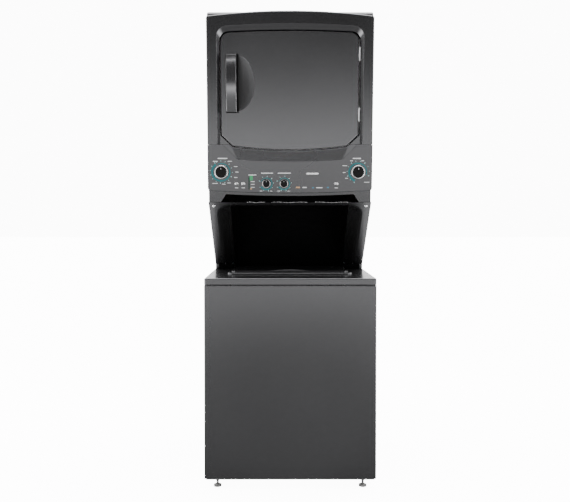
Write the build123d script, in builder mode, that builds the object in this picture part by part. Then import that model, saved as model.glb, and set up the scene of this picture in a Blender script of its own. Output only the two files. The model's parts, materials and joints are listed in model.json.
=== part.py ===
from build123d import *
import os
from math import atan2, cos, hypot, radians, sin, tan

# Stacked washer and dryer: a top-loading washer below, and a vented dryer on a tower above it.
#
# The frame is +Z up, with the front towards -Y and the origin under the middle of the footprint.
# All sizes are in millimetres. The dryer's front leans forward a little towards its top, so its
# pieces are drawn on the leaning plane `front`, whose own y axis runs up the lean from the seam
# between the dryer's front frame and the control fascia.

os.makedirs("parts", exist_ok=True)

# ---------------------------------------------------------------- overall sizes
total_height = 1925
total_depth = 784
washer_width = 686
tower_width = 680
sheet = 1.2  # steel sheet of the casings
seam = 0.5  # gap between pieces that meet at a visible joint
running = 0.05  # radial clearance of a shaft in its hole

front_y = -total_depth / 2
pipe_reach = 40  # how far the exhaust pipe stands out behind the machine
back_y = total_depth / 2 - pipe_reach

# ---------------------------------------------------------------- washer sizes
foot_clearance = 32  # floor to the underside of the base
foot_radius = 16
stud_radius = 5
base_depth = 28
base_sheet = 2.5
panel_bottom = 43
panel_depth = 20
panel_gap = 4  # shadow gap between the front panel and the deck
deck_thickness = 2.5
deck_skirt = 25
deck_top = 845
deck_bottom = deck_top - deck_skirt
foot_inset = 42

tub_y = -30  # axis of the tub, basket and agitator
tub_radius = 292
tub_wall = 3
tub_bottom = 172
tub_top = 715
basket_radius = 258
basket_bottom = 204
basket_top = 712
hub_radius = 30
hub_bore = 21
shaft_radius = 12.5
agitator_base_radius = 150
agitator_top = 620

washer_pulley_radius = 95
washer_motor_pulley_radius = 20
washer_belt_z = 86
washer_belt_width = 10
washer_motor_at = (-195, -110)
gearcase_bottom = 106
drive_tube_bottom = 135
belt_thickness = 4
belt_play = 0.3

lid_width = 492
lid_front_y = -184
lid_axis_y = 113
lid_axis_z = deck_top + 8
lid_thickness = 10
lid_overhang = 5
lid_pin_radius = 4
lid_mouth_width = 456
lid_mouth_depth = 270
bracket_inner = 253
bracket_outer = 325
bracket_height = 21

# ---------------------------------------------------------------- tower sizes
lean = 6.3  # degrees that the dryer's front leans forward
seam_z = 1386
seam_y = -252
lean_out = (0, -cos(radians(lean)), -sin(radians(lean)))
front = Plane(origin=(0, seam_y, seam_z), x_dir=(1, 0, 0), z_dir=lean_out)
front_axis = Axis(front.origin, front.z_dir)

tower_half = tower_width / 2
frame_half = tower_half + 2  # the front frame and fascia stand out past the tower's sides
frame_depth = 24
frame_top = 539
frame_top_sag = 21
frame_edge_radius = 7
frame_corner_radius = 10
recess_depth = 14
recess_half = 300
recess_top = 487
recess_sag = 14
recess_radius = 42
recess_edge_radius = 4

door_half = 284
door_top = 460
door_sag = 9
door_bottom = -22
door_top_radius = 34
door_knee = 40  # where the door's sides turn in towards its foot
door_foot = -6  # height of the ends of its bowed foot
door_cut = 48  # how far each lower corner is cut in
door_corner_radius = 14
door_gap = 5
hinge_gap = 8  # on the hinge side
door_inset = 13  # door face behind the frame's face
door_depth = 36
door_skin = 2
well_wall = 2
well_depth = 43

collar_z = 1580
collar_radius = 190
bulkhead_y = -160
bulkhead_sheet = 1.5
drum_z = 1522
drum_radius = 295
drum_wall = 1.2
drum_front_y = -156
drum_back_y = 288
drum_shaft_radius = 12

fascia_proud = 2
fascia_bottom = -190
fascia_bottom_sag = 11
fascia_wall = 3.5
trough_bottom = -62
trough_sag = 7
trough_over = 30  # how far the trough's outline is drawn above the seam
fascia_edge_radius = 2.5

valance_bottom = -238
valance_depth = 24
valance_half = tower_half - 3

slope_top_y = -225  # the access panel's front edge, under the valance
slope_top_z = 1148
slope_foot_y = 122
slope_foot_z = 866
slab_depth = 38
pocket_half = 254
pocket_back_y = 193
pocket_top_z = 1185.5

motor_at = (-150, 1060)  # x and z of the dryer motor's shaft
motor_pulley_radius = 14
drum_belt_y = 254
drum_belt_width = 8
exhaust_at = (40, 988)
exhaust_radius = 50.8


# ---------------------------------------------------------------- helpers
def level(z):
    """A horizontal plane at height z."""
    return Plane.XY.offset(z)


def facing(y):
    """An upright plane at depth y that faces the front; its own x and y are the machine's x and z."""
    return Plane.XZ.offset(-y)


def front_point(up, out):
    """The y and z of a point on the leaning front, up its slope from the seam and out from its face."""
    y = seam_y - up * sin(radians(lean)) - out * cos(radians(lean))
    z = seam_z + up * cos(radians(lean)) - out * sin(radians(lean))
    return y, z


def arched(left, right, top, sag, bottom, top_radius, bottom_radius):
    """An outline with a bowed top edge, upright sides and four rounded corners."""
    middle = (left + right) / 2
    with BuildSketch() as outline:
        with BuildLine():
            ThreePointArc((left, top - sag), (middle, top), (right, top - sag))
            Polyline((right, top - sag), (right, bottom), (left, bottom), (left, top - sag))
        make_face()
        fillet(outline.vertices().group_by(Axis.Y)[-1], top_radius)
        fillet(outline.vertices().group_by(Axis.Y)[0], bottom_radius)
    return outline.sketch


def door_outline(grow_left, grow_right, grow):
    """The dryer door's outline with its cut lower corners, grown by gaps at its left, right and ends."""
    left = -door_half - grow_left
    right = door_half + door_gap - hinge_gap + grow_right
    middle = (left + right) / 2
    shoulder = door_top - door_sag + grow
    rise = door_knee - door_foot
    cut_length = hypot(door_cut, rise)
    knee = door_knee - grow * (cut_length - rise) / door_cut
    foot = door_foot - grow
    foot_shift = grow * (cut_length - door_cut) / rise
    left_foot = left + grow_left + door_cut - foot_shift
    right_foot = right - grow_right - door_cut + foot_shift
    with BuildSketch() as outline:
        with BuildLine():
            ThreePointArc((left, shoulder), (middle, door_top + grow), (right, shoulder))
            Polyline((right, shoulder), (right, knee), (right_foot, foot))
            ThreePointArc((right_foot, foot), (middle, door_bottom - grow), (left_foot, foot))
            Polyline((left_foot, foot), (left, knee), (left, shoulder))
        make_face()
        fillet(outline.vertices().group_by(Axis.Y)[-1], door_top_radius + grow)
        lower_corners = [corner for corner in outline.vertices() if corner.Y < knee + 1]
        fillet(lower_corners, door_corner_radius + grow)
    return outline.sketch


def well_outline(grow=0):
    """The opening that the door sits in."""
    return door_outline(door_gap + grow, hinge_gap + grow, door_gap + grow)


def trough(top_half, bottom_half, bottom, sag, corner):
    """The dished outline below the door, open above the seam."""
    with BuildSketch() as outline:
        with BuildLine():
            Line((-top_half, trough_over), (-bottom_half, bottom))
            ThreePointArc((-bottom_half, bottom), (0, bottom - sag), (bottom_half, bottom))
            Polyline((bottom_half, bottom), (top_half, trough_over), (-top_half, trough_over))
        make_face()
        fillet(outline.vertices().group_by(Axis.Y)[0], corner)
    return outline.sketch


def belt_loop(big_at, big_radius, small_at, small_radius):
    """A belt's outline round two pulleys."""
    loops = []
    for thickness in (belt_play + belt_thickness, belt_play):
        with BuildSketch() as loop:
            with Locations(big_at):
                Circle(big_radius + thickness)
            with Locations(small_at):
                Circle(small_radius + thickness)
            make_hull()
        loops.append(loop.sketch)
    with BuildSketch() as band:
        add(loops[0])
        add(loops[1], mode=Mode.SUBTRACT)
    return band.sketch


def half_profile(*points):
    """A closed outline of (radius, height) points for a turned piece."""
    with BuildSketch() as outline:
        with BuildLine():
            Polyline(*points, close=True)
        make_face()
    return outline.sketch


def box_between(x_from, x_to, y_from, y_to, z_from, z_to):
    """An upright box between two corners."""
    with BuildPart() as box:
        with Locations(((x_from + x_to) / 2, (y_from + y_to) / 2, (z_from + z_to) / 2)):
            Box(x_to - x_from, y_to - y_from, z_to - z_from)
    return box.part


tub_axis = Axis((0, tub_y, 0), (0, 0, 1))
tub_section = Plane(origin=(0, tub_y, 0), x_dir=(1, 0, 0), z_dir=(0, -1, 0))

# ================================================================ washer
# Pressed base tray that carries the feet
base_half = washer_width / 2 - sheet - 1
base_front_y = front_y + 24
base_back_y = back_y - sheet - 1
base_length = base_back_y - base_front_y
base_mid_y = (base_front_y + base_back_y) / 2
base_rim = 70
foot_x = 293
foot_places = [(x, y) for x in (-foot_x, foot_x) for y in (front_y + foot_inset, back_y - foot_inset)]

with BuildPart() as base_frame:
    with BuildSketch(level(foot_clearance)):
        with Locations((0, base_mid_y)):
            RectangleRounded(2 * base_half, base_length, 8)
    extrude(amount=base_depth)
    with BuildSketch(level(foot_clearance + base_sheet)):
        with Locations((0, base_mid_y)):
            Rectangle(2 * (base_half - base_sheet), base_length - 2 * base_sheet)
    extrude(amount=base_depth, mode=Mode.SUBTRACT)
    with BuildSketch(level(foot_clearance)):
        with Locations((0, base_mid_y)):
            RectangleRounded(2 * (base_half - base_rim), base_length - 2 * base_rim, 30)
        with Locations(*foot_places):
            Circle(stud_radius + 0.3)
    extrude(amount=base_depth, mode=Mode.SUBTRACT)
base_frame.part.label = "base_frame"
export_step(base_frame.part, "parts/base_frame.step")

# Four threaded feet, each with its lock nut under the base
nut_height = 6
with BuildPart() as leveling_feet:
    for place in foot_places:
        with Locations((*place, 0)):
            Cylinder(foot_radius, 8, align=(Align.CENTER, Align.CENTER, Align.MIN))
            Cone(foot_radius - 3, stud_radius + 3, 6, align=(Align.CENTER, Align.CENTER, Align.MIN))
        with Locations((*place, 8)):
            Cone(foot_radius - 3, stud_radius, 6, align=(Align.CENTER, Align.CENTER, Align.MIN))
        with Locations((*place, 12)):
            Cylinder(stud_radius, 44, align=(Align.CENTER, Align.CENTER, Align.MIN))
    pads = leveling_feet.edges().filter_by(GeomType.CIRCLE).group_by(Axis.Z)[0]
    fillet(pads, 2)
    with BuildSketch(level(foot_clearance - nut_height)):
        with Locations(*foot_places):
            RegularPolygon(stud_radius * 1.85, 6)
    extrude(amount=nut_height)
leveling_feet.part.label = "leveling_feet"
export_step(leveling_feet.part, "parts/leveling_feet.step")

# Wrap-round cabinet: two sides and a back in one bent sheet, with a narrow front return
cabinet_front_y = front_y + panel_depth + seam
cabinet_depth = back_y - cabinet_front_y
cabinet_mid_y = (cabinet_front_y + back_y) / 2
return_width = 28
drain_at = (230, 700)
inlet_z = 768
inlet_x = (128, 172)
inlet_radius = 13.2
inlet_neck = 12
drain_radius = 13
drain_collar = 14.5
exhaust_neck = 48
pass_through = 1.5

with BuildPart() as washer_cabinet:
    with BuildSketch(level(panel_bottom)):
        with Locations((0, cabinet_mid_y)):
            Rectangle(washer_width, cabinet_depth)
            Rectangle(washer_width - 2 * sheet, cabinet_depth - 2 * sheet, mode=Mode.SUBTRACT)
        with Locations((0, cabinet_front_y)):
            Rectangle(washer_width - 2 * return_width, 4 * sheet, mode=Mode.SUBTRACT)
    extrude(amount=deck_bottom - panel_bottom)
    with BuildSketch(facing(back_y)):
        with Locations(drain_at):
            Circle(drain_radius + pass_through)
        with Locations(*[(x, inlet_z) for x in inlet_x]):
            Circle(inlet_radius + pass_through)
    extrude(amount=-2 * sheet, both=True, mode=Mode.SUBTRACT)
    corners = washer_cabinet.edges().filter_by(Axis.Z).group_by(Axis.Y)[-1]
    fillet(corners, sheet / 2)
washer_cabinet.part.label = "washer_cabinet"
export_step(washer_cabinet.part, "parts/washer_cabinet.step")

# Front panel: a shallow pressed pan with rounded upright edges
front_panel_top = deck_bottom - panel_gap
with BuildPart() as washer_front_panel:
    with BuildSketch(facing(front_y)):
        with Locations((0, (panel_bottom + front_panel_top) / 2)):
            Rectangle(washer_width, front_panel_top - panel_bottom)
    extrude(amount=-panel_depth)
    front_edges = washer_front_panel.faces().sort_by(Axis.Y)[0].edges()
    fillet(front_edges, 4)
    offset(amount=-sheet, openings=washer_front_panel.faces().sort_by(Axis.Y)[-1])
washer_front_panel.part.label = "washer_front_panel"
export_step(washer_front_panel.part, "parts/washer_front_panel.step")

# Deck: pressed top with a skirt, a raised bead round the lid and the mouth over the basket
mouth_y = (lid_front_y + lid_axis_y) / 2
bead_height = 6
bead_width = 12
bead_inner = 500
bead_front_y = lid_front_y - 2
bead_back_y = 90
with BuildPart() as washer_top_deck:
    with BuildSketch(level(deck_bottom)):
        with Locations((0, (front_y + back_y) / 2)):
            RectangleRounded(washer_width, back_y - front_y, 9)
    extrude(amount=deck_skirt)
    fillet(washer_top_deck.faces().sort_by(Axis.Z)[-1].edges(), 5)
    offset(amount=-deck_thickness, openings=washer_top_deck.faces().sort_by(Axis.Z)[0])
    with BuildSketch(level(deck_top)):
        with Locations((0, (bead_front_y - bead_width + bead_back_y) / 2)):
            RectangleRounded(bead_inner + 2 * bead_width, bead_back_y - bead_front_y + bead_width, 24)
        with Locations((0, (bead_front_y + bead_back_y + 40) / 2)):
            RectangleRounded(bead_inner, bead_back_y - bead_front_y + 40, 14, mode=Mode.SUBTRACT)
    extrude(amount=bead_height)
    fillet(washer_top_deck.faces().sort_by(Axis.Z)[-1].edges(), 3)
    with BuildSketch(level(deck_top)):
        with Locations((0, mouth_y)):
            RectangleRounded(lid_mouth_width, lid_mouth_depth, 50)
    extrude(amount=2 * deck_thickness, both=True, mode=Mode.SUBTRACT)
washer_top_deck.part.label = "washer_top_deck"
export_step(washer_top_deck.part, "parts/washer_top_deck.step")

# Lid: moulded frame with hinge pins, a finger grip at the front, and a glass window let into it
lid_bottom = lid_axis_z - lid_thickness / 2
lid_back_y = lid_axis_y + lid_overhang
lid_mid_y = (lid_front_y + lid_back_y) / 2
window_width = 404
window_depth = 204
window_seat = 4
grip_width = 190
scoop_width = 146
grip_rise = 6
grip_depth = 22
with BuildPart() as washer_lid_frame:
    with BuildSketch(level(lid_bottom)):
        with Locations((0, lid_mid_y)):
            RectangleRounded(lid_width, lid_back_y - lid_front_y, 20)
    extrude(amount=lid_thickness)
    with BuildSketch(facing(lid_front_y)):
        with BuildLine():
            crown = ThreePointArc(
                (-grip_width / 2, lid_axis_z + 4),
                (0, lid_axis_z + lid_thickness / 2 + grip_rise),
                (grip_width / 2, lid_axis_z + 4),
            )
            Line(crown @ 1, crown @ 0)
        make_face()
    extrude(amount=-grip_depth)
    with BuildSketch(facing(lid_front_y)):
        with BuildLine():
            scoop = ThreePointArc(
                (-scoop_width / 2, lid_bottom - 1),
                (0, lid_axis_z + 3),
                (scoop_width / 2, lid_bottom - 1),
            )
            Line(scoop @ 1, scoop @ 0)
        make_face()
    extrude(amount=-grip_depth + 5, mode=Mode.SUBTRACT)
    with BuildSketch(level(lid_bottom + lid_thickness)):
        with Locations((0, lid_mid_y)):
            RectangleRounded(window_width, window_depth, 16)
    extrude(amount=-window_seat, mode=Mode.SUBTRACT)
    with BuildSketch(level(lid_bottom + lid_thickness)):
        with Locations((0, lid_mid_y)):
            RectangleRounded(window_width - 20, window_depth - 20, 12)
    extrude(amount=-lid_thickness, mode=Mode.SUBTRACT)
    with Locations((0, lid_axis_y, lid_axis_z)):
        Cylinder(lid_pin_radius, lid_width + 32, rotation=(0, 90, 0))
washer_lid_frame.part.label = "washer_lid_frame"
export_step(washer_lid_frame.part, "parts/washer_lid_frame.step")

with BuildPart() as washer_lid_glass:
    with BuildSketch(level(lid_bottom + lid_thickness - window_seat)):
        with Locations((0, lid_mid_y)):
            RectangleRounded(window_width - 1, window_depth - 1, 15.5)
    extrude(amount=window_seat - 0.2)
washer_lid_glass.part.label = "washer_lid_glass"
export_step(washer_lid_glass.part, "parts/washer_lid_glass.step")

# Two hinge brackets beside the lid, with the bores that its pins turn in
bracket_depth = 26
bracket_back_y = slope_foot_y - seam
with BuildPart() as lid_hinge_brackets:
    with BuildSketch(level(deck_top)):
        with Locations((0, bracket_back_y - bracket_depth / 2)):
            Rectangle(2 * bracket_outer, bracket_depth)
            Rectangle(2 * bracket_inner, bracket_depth, mode=Mode.SUBTRACT)
    extrude(amount=bracket_height)
    fillet(lid_hinge_brackets.edges().filter_by(Axis.X).group_by(Axis.Z)[-1].group_by(Axis.Y)[0], 8)
    with Locations((0, lid_axis_y, lid_axis_z)):
        Cylinder(lid_pin_radius + running, 2 * bracket_inner + 30, rotation=(0, 90, 0), mode=Mode.SUBTRACT)
lid_hinge_brackets.part.label = "lid_hinge_brackets"
export_step(lid_hinge_brackets.part, "parts/lid_hinge_brackets.step")

# Lid lock under the deck's front edge
with BuildPart() as lid_lock:
    with Locations((150, mouth_y - lid_mouth_depth / 2 - 22, deck_top - deck_thickness - 18)):
        Box(70, 26, 36)
    fillet(lid_lock.edges().filter_by(Axis.Z), 4)
    with Locations((150, mouth_y - lid_mouth_depth / 2 - 22, deck_top - deck_thickness - 30)):
        Box(14, 8, 40, mode=Mode.SUBTRACT)
lid_lock.part.label = "lid_lock"
export_step(lid_lock.part, "parts/lid_lock.step")

# Outer tub with four ears for the suspension rods
rod_offset = 270
ear_z = 240
ear_thickness = 12
rod_radius = 4
ear_reach = hypot(rod_offset, rod_offset) + 14
with BuildPart() as outer_tub:
    with BuildSketch(tub_section):
        add(half_profile(
            (hub_radius + 2, tub_bottom),
            (tub_radius, tub_bottom),
            (tub_radius, tub_top),
            (tub_radius + 8, tub_top),
            (tub_radius + 8, tub_top + 4),
            (tub_radius - tub_wall, tub_top + 4),
            (tub_radius - tub_wall, tub_bottom + tub_wall),
            (hub_radius + 2, tub_bottom + tub_wall),
        ))
    revolve(axis=tub_axis)
    with BuildSketch(level(ear_z)):
        with Locations((0, tub_y)):
            with PolarLocations((tub_radius - 1 + ear_reach) / 2, 4, 45):
                SlotOverall(ear_reach - tub_radius + 1, 30)
        with Locations((0, tub_y)):
            with GridLocations(2 * rod_offset, 2 * rod_offset, 2, 2):
                Circle(rod_radius + 1, mode=Mode.SUBTRACT)
            Circle(tub_radius - tub_wall, mode=Mode.SUBTRACT)
    extrude(amount=ear_thickness)
outer_tub.part.label = "outer_tub"
export_step(outer_tub.part, "parts/outer_tub.step")

# Tub ring that closes the gap over the basket's rim
ring_z = tub_top + 4 + seam
ring_inner = 228
with BuildPart() as tub_ring:
    with BuildSketch(tub_section):
        add(half_profile(
            (ring_inner, ring_z),
            (tub_radius + 8, ring_z),
            (tub_radius + 8, ring_z + 4),
            (ring_inner + 3, ring_z + 4),
            (ring_inner + 3, ring_z + 16),
            (ring_inner, ring_z + 16),
        ))
    revolve(axis=tub_axis)
tub_ring.part.label = "tub_ring"
export_step(tub_ring.part, "parts/tub_ring.step")

# Perforated basket with its drive tube
basket_wall = 1.5
basket_knuckle = 12  # bevel between the floor and the wall
hole_rows = 5
holes_round = 18
hole_radius = 4
hole_pitch = 85
with BuildPart() as wash_basket:
    with BuildSketch(tub_section):
        add(half_profile(
            (hub_bore, drive_tube_bottom),
            (hub_radius, drive_tube_bottom),
            (hub_radius, basket_bottom),
            (basket_radius - basket_knuckle, basket_bottom),
            (basket_radius, basket_bottom + basket_knuckle),
            (basket_radius, basket_top),
            (basket_radius - basket_wall, basket_top),
            (basket_radius - basket_wall, basket_bottom + basket_knuckle + 0.6),
            (basket_radius - basket_knuckle - 0.6, basket_bottom + basket_wall),
            (hub_bore, basket_bottom + basket_wall),
        ))
    revolve(axis=tub_axis)
    for row in range(hole_rows):
        with Locations((0, tub_y, basket_bottom + 70 + hole_pitch * row)):
            with PolarLocations(basket_radius, holes_round, 180 / holes_round * (row % 2)):
                Cylinder(hole_radius, 4 * basket_wall, rotation=(0, 90, 0), mode=Mode.SUBTRACT)
wash_basket.part.label = "wash_basket"
export_step(wash_basket.part, "parts/wash_basket.step")

# Fluid-filled balance ring inside the basket's rim
balance_height = 26
with BuildPart() as balance_ring:
    with BuildSketch(tub_section):
        add(half_profile(
            (224, basket_top - balance_height),
            (basket_radius - basket_wall, basket_top - balance_height),
            (basket_radius - basket_wall, basket_top - 1),
            (224, basket_top - 1),
        ))
    revolve(axis=tub_axis)
    fillet(balance_ring.edges().sort_by(Axis.Z)[-1], 6)
balance_ring.part.label = "balance_ring"
export_step(balance_ring.part, "parts/balance_ring.step")

# Agitator: a skirt with four big vanes, and a column under a domed cap
column_radius = 36
agitator_z = basket_bottom + basket_wall + 3
cap_radius = column_radius + 4
cap_height = 36
with BuildPart() as agitator:
    with BuildSketch(tub_section):
        with BuildLine():
            skirt_rim = (agitator_base_radius, agitator_z + 6)
            skirt_top = (cap_radius, agitator_z + 110)
            Polyline((0, agitator_z), (agitator_base_radius, agitator_z), skirt_rim)
            ThreePointArc(skirt_rim, (74, agitator_z + 34), skirt_top)
            Polyline(
                skirt_top,
                (column_radius, agitator_top - 20),
                (cap_radius, agitator_top),
                (cap_radius, agitator_top + cap_height),
                (0, agitator_top + cap_height),
                (0, agitator_z),
            )
        make_face()
    revolve(axis=tub_axis)
    fillet(agitator.edges().filter_by(GeomType.CIRCLE).sort_by(Axis.Z)[-1], 16)
    for turn in range(4):
        across = (cos(radians(45 + 90 * turn)), sin(radians(45 + 90 * turn)), 0)
        facing_out = (across[1], -across[0], 0)
        with BuildSketch(Plane(origin=(0, tub_y, 0), x_dir=across, z_dir=facing_out)):
            add(half_profile(
                (shaft_radius + 6, agitator_z + 1),
                (agitator_base_radius - 4, agitator_z + 1),
                (agitator_base_radius - 10, agitator_z + 38),
                (78, agitator_z + 95),
                (column_radius + 22, agitator_top - 90),
                (column_radius - 6, agitator_top - 40),
                (shaft_radius + 6, agitator_top - 40),
            ))
        extrude(amount=4, both=True)
    with Locations((0, tub_y, agitator_z)):
        shaft_hole = agitator_top - agitator_z
        Cylinder(shaft_radius, shaft_hole, align=(Align.CENTER, Align.CENTER, Align.MIN), mode=Mode.SUBTRACT)
agitator.part.label = "agitator"
export_step(agitator.part, "parts/agitator.step")

with BuildPart() as agitator_shaft:
    with BuildSketch(level(washer_belt_z - 6)):
        with Locations((0, tub_y)):
            Circle(shaft_radius)
    extrude(amount=agitator_top - washer_belt_z - 4)
agitator_shaft.part.label = "agitator_shaft"
export_step(agitator_shaft.part, "parts/agitator_shaft.step")

# Pulley on the shaft, with six lightening holes
flange = 3
with BuildPart() as washer_drive_pulley:
    with BuildSketch(tub_section):
        add(half_profile(
            (shaft_radius, washer_belt_z - flange),
            (washer_pulley_radius + 6, washer_belt_z - flange),
            (washer_pulley_radius, washer_belt_z),
            (washer_pulley_radius, washer_belt_z + washer_belt_width),
            (washer_pulley_radius + 6, washer_belt_z + washer_belt_width + flange),
            (shaft_radius, washer_belt_z + washer_belt_width + flange),
        ))
    revolve(axis=tub_axis)
    with BuildSketch(level(washer_belt_z - flange)):
        with Locations((0, tub_y)):
            with PolarLocations(56, 6):
                Circle(18)
    extrude(amount=washer_belt_width + 2 * flange, mode=Mode.SUBTRACT)
washer_drive_pulley.part.label = "washer_drive_pulley"
export_step(washer_drive_pulley.part, "parts/washer_drive_pulley.step")

# Bearing housing under the tub; the basket's drive tube turns in it
gearcase_radius = 54
gearcase_flange = 76
with BuildPart() as gearcase:
    with BuildSketch(tub_section):
        add(half_profile(
            (hub_radius + running, gearcase_bottom),
            (gearcase_flange, gearcase_bottom),
            (gearcase_flange, gearcase_bottom + 14),
            (gearcase_radius, gearcase_bottom + 26),
            (gearcase_radius, tub_bottom - seam),
            (hub_radius + running, tub_bottom - seam),
        ))
    revolve(axis=tub_axis)
gearcase.part.label = "gearcase"
export_step(gearcase.part, "parts/gearcase.step")

# Motor beside it, its pulley and the belt
motor_radius = 60
with BuildPart() as washer_motor:
    with BuildSketch(level(gearcase_bottom)):
        with Locations(washer_motor_at):
            Circle(motor_radius)
    extrude(amount=tub_bottom - gearcase_bottom - 6)
    fillet(washer_motor.edges().filter_by(GeomType.CIRCLE), 5)
    with Locations((*washer_motor_at, gearcase_bottom + 6)):
        Box(2 * motor_radius + 34, 30, 6)
washer_motor.part.label = "washer_motor"
export_step(washer_motor.part, "parts/washer_motor.step")

with BuildPart() as washer_motor_pulley:
    with BuildSketch(level(washer_belt_z - flange)):
        with Locations(washer_motor_at):
            Circle(washer_motor_pulley_radius + 5)
    extrude(amount=flange)
    with BuildSketch(level(washer_belt_z)):
        with Locations(washer_motor_at):
            Circle(washer_motor_pulley_radius)
    extrude(amount=washer_belt_width)
    with BuildSketch(level(washer_belt_z + washer_belt_width)):
        with Locations(washer_motor_at):
            Circle(8)
    extrude(amount=gearcase_bottom - washer_belt_z - washer_belt_width - seam)
washer_motor_pulley.part.label = "washer_motor_pulley"
export_step(washer_motor_pulley.part, "parts/washer_motor_pulley.step")

with BuildPart() as washer_belt:
    with BuildSketch(level(washer_belt_z + 0.5)):
        add(belt_loop((0, tub_y), washer_pulley_radius, washer_motor_at, washer_motor_pulley_radius))
    extrude(amount=washer_belt_width - 1)
washer_belt.part.label = "washer_belt"
export_step(washer_belt.part, "parts/washer_belt.step")

# Four hanging rods, each with its hanger plate, and a spring cup under the tub's ear
rod_top = 800
cup_height = 46
cup_radius = 14
with BuildPart() as suspension_rods:
    with Locations((0, tub_y, ear_z - cup_height)):
        with GridLocations(2 * rod_offset, 2 * rod_offset, 2, 2):
            Cylinder(rod_radius, rod_top - ear_z + cup_height, align=(Align.CENTER, Align.CENTER, Align.MIN))
            Cylinder(cup_radius, cup_height - 0.3, align=(Align.CENTER, Align.CENTER, Align.MIN))
    with Locations((0, tub_y, rod_top)):
        with GridLocations(2 * rod_offset + 56, 2 * rod_offset, 2, 2):
            Box(84, 30, 4, align=(Align.CENTER, Align.CENTER, Align.MIN))
suspension_rods.part.label = "suspension_rods"
export_step(suspension_rods.part, "parts/suspension_rods.step")

# Drain pump on the base, and the pipe that rises from it to the outlet at the back
pump_at = (drain_at[0], back_y - 56)
pump_top = 118
with BuildPart() as drain_pump:
    with BuildSketch(level(foot_clearance + base_sheet)):
        with Locations(pump_at):
            Circle(36)
    extrude(amount=pump_top - foot_clearance - base_sheet)
    fillet(drain_pump.edges().filter_by(GeomType.CIRCLE).group_by(Axis.Z)[-1], 4)
    with BuildSketch(facing(pump_at[1])):
        with Locations((pump_at[0] - 40, 84)):
            Rectangle(60, 26)
    extrude(amount=13, both=True)
drain_pump.part.label = "drain_pump"
export_step(drain_pump.part, "parts/drain_pump.step")

drain_bore = 11
outlet_length = 26
outlet_end_y = back_y + outlet_length + 4
with BuildPart() as drain_outlet:
    with BuildLine() as drain_route:
        FilletPolyline(
            (drain_at[0], pump_at[1] + 10, pump_top + seam),
            (drain_at[0], pump_at[1] + 10, drain_at[1]),
            (drain_at[0], outlet_end_y, drain_at[1]),
            radius=24,
        )
    with BuildSketch(Plane(drain_route.line @ 0, z_dir=drain_route.line % 0)):
        Circle(drain_radius)
        Circle(drain_bore, mode=Mode.SUBTRACT)
    sweep()
    with BuildSketch(facing(outlet_end_y)):
        with Locations(drain_at):
            Circle(drain_collar)
            Circle(drain_bore, mode=Mode.SUBTRACT)
    extrude(amount=outlet_length)
drain_outlet.part.label = "drain_outlet"
export_step(drain_outlet.part, "parts/drain_outlet.step")

# Water inlet valve with its two hose inlets through the cabinet's back
inlet_length = 26
inlet_end_y = back_y + inlet_length + 2
inlet_bore = 9
valve_front_y = back_y - 52
with BuildPart() as inlet_valve:
    with BuildSketch(facing(valve_front_y)):
        with Locations((sum(inlet_x) / 2, inlet_z)):
            RectangleRounded(92, 44, 5)
    extrude(amount=-(back_y - sheet - seam - valve_front_y))
    with BuildSketch(facing(inlet_end_y)):
        with Locations(*[(x, inlet_z) for x in inlet_x]):
            Circle(inlet_radius)
    extrude(amount=inlet_length)
    with BuildSketch(facing(inlet_end_y)):
        with Locations(*[(x, inlet_z) for x in inlet_x]):
            Circle(inlet_neck)
    extrude(amount=inlet_end_y - back_y + sheet + 1)
    with BuildSketch(facing(inlet_end_y)):
        with Locations(*[(x, inlet_z) for x in inlet_x]):
            Circle(inlet_bore)
    extrude(amount=30, mode=Mode.SUBTRACT)
inlet_valve.part.label = "inlet_valve"
export_step(inlet_valve.part, "parts/inlet_valve.step")

# ================================================================ tower casing
side_foot_z = deck_top + seam
top_panel_height = 20
top_panel_z = total_height - top_panel_height
side_back_y = back_y - sheet - 0.3
top_front_y = front_point((top_panel_z - seam_z) / cos(radians(lean)) - 8, -frame_depth - seam)[0]
side_points = [
    (side_back_y, side_foot_z),
    (slope_foot_y, side_foot_z),
    (slope_foot_y, slope_foot_z),
    (slope_top_y, slope_top_z),
    front_point(valance_bottom, -valance_depth - seam),
    (top_front_y, top_panel_z - seam),
    (side_back_y, top_panel_z - seam),
]
with BuildPart() as tower_sides:
    with BuildSketch(Plane.YZ.offset(-tower_half), Plane.YZ.offset(tower_half - sheet)):
        with BuildLine():
            Polyline(*side_points, close=True)
        make_face()
    extrude(amount=sheet)
tower_sides.part.label = "tower_sides"
export_step(tower_sides.part, "parts/tower_sides.step")

supply_at = (190, 1010)  # cover over the supply's terminals, with the hole for its gland
supply_cover = 110
vent_rows = 10
vent_pitch = 20
with BuildPart() as tower_rear_panel:
    with BuildSketch(facing(back_y)):
        with Locations((0, (side_foot_z + top_panel_z - seam) / 2)):
            Rectangle(tower_width, top_panel_z - seam - side_foot_z)
        with Locations(exhaust_at):
            Circle(exhaust_neck + pass_through, mode=Mode.SUBTRACT)
        with Locations(supply_at):
            RectangleRounded(supply_cover - 20, supply_cover - 20, 4, mode=Mode.SUBTRACT)
    extrude(amount=sheet)
    with BuildSketch(facing(back_y)):
        with Locations(supply_at):
            RectangleRounded(supply_cover, supply_cover, 6)
        with Locations((supply_at[0], supply_at[1] - 25)):
            Circle(16, mode=Mode.SUBTRACT)
    extrude(amount=-sheet)
    with BuildSketch(facing(back_y)):
        for row in range(vent_rows):
            with Locations((0, 1640 + vent_pitch * row)):
                SlotOverall(300, 6)
    extrude(amount=sheet, mode=Mode.SUBTRACT)
tower_rear_panel.part.label = "tower_rear_panel"
export_step(tower_rear_panel.part, "parts/tower_rear_panel.step")

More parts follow.
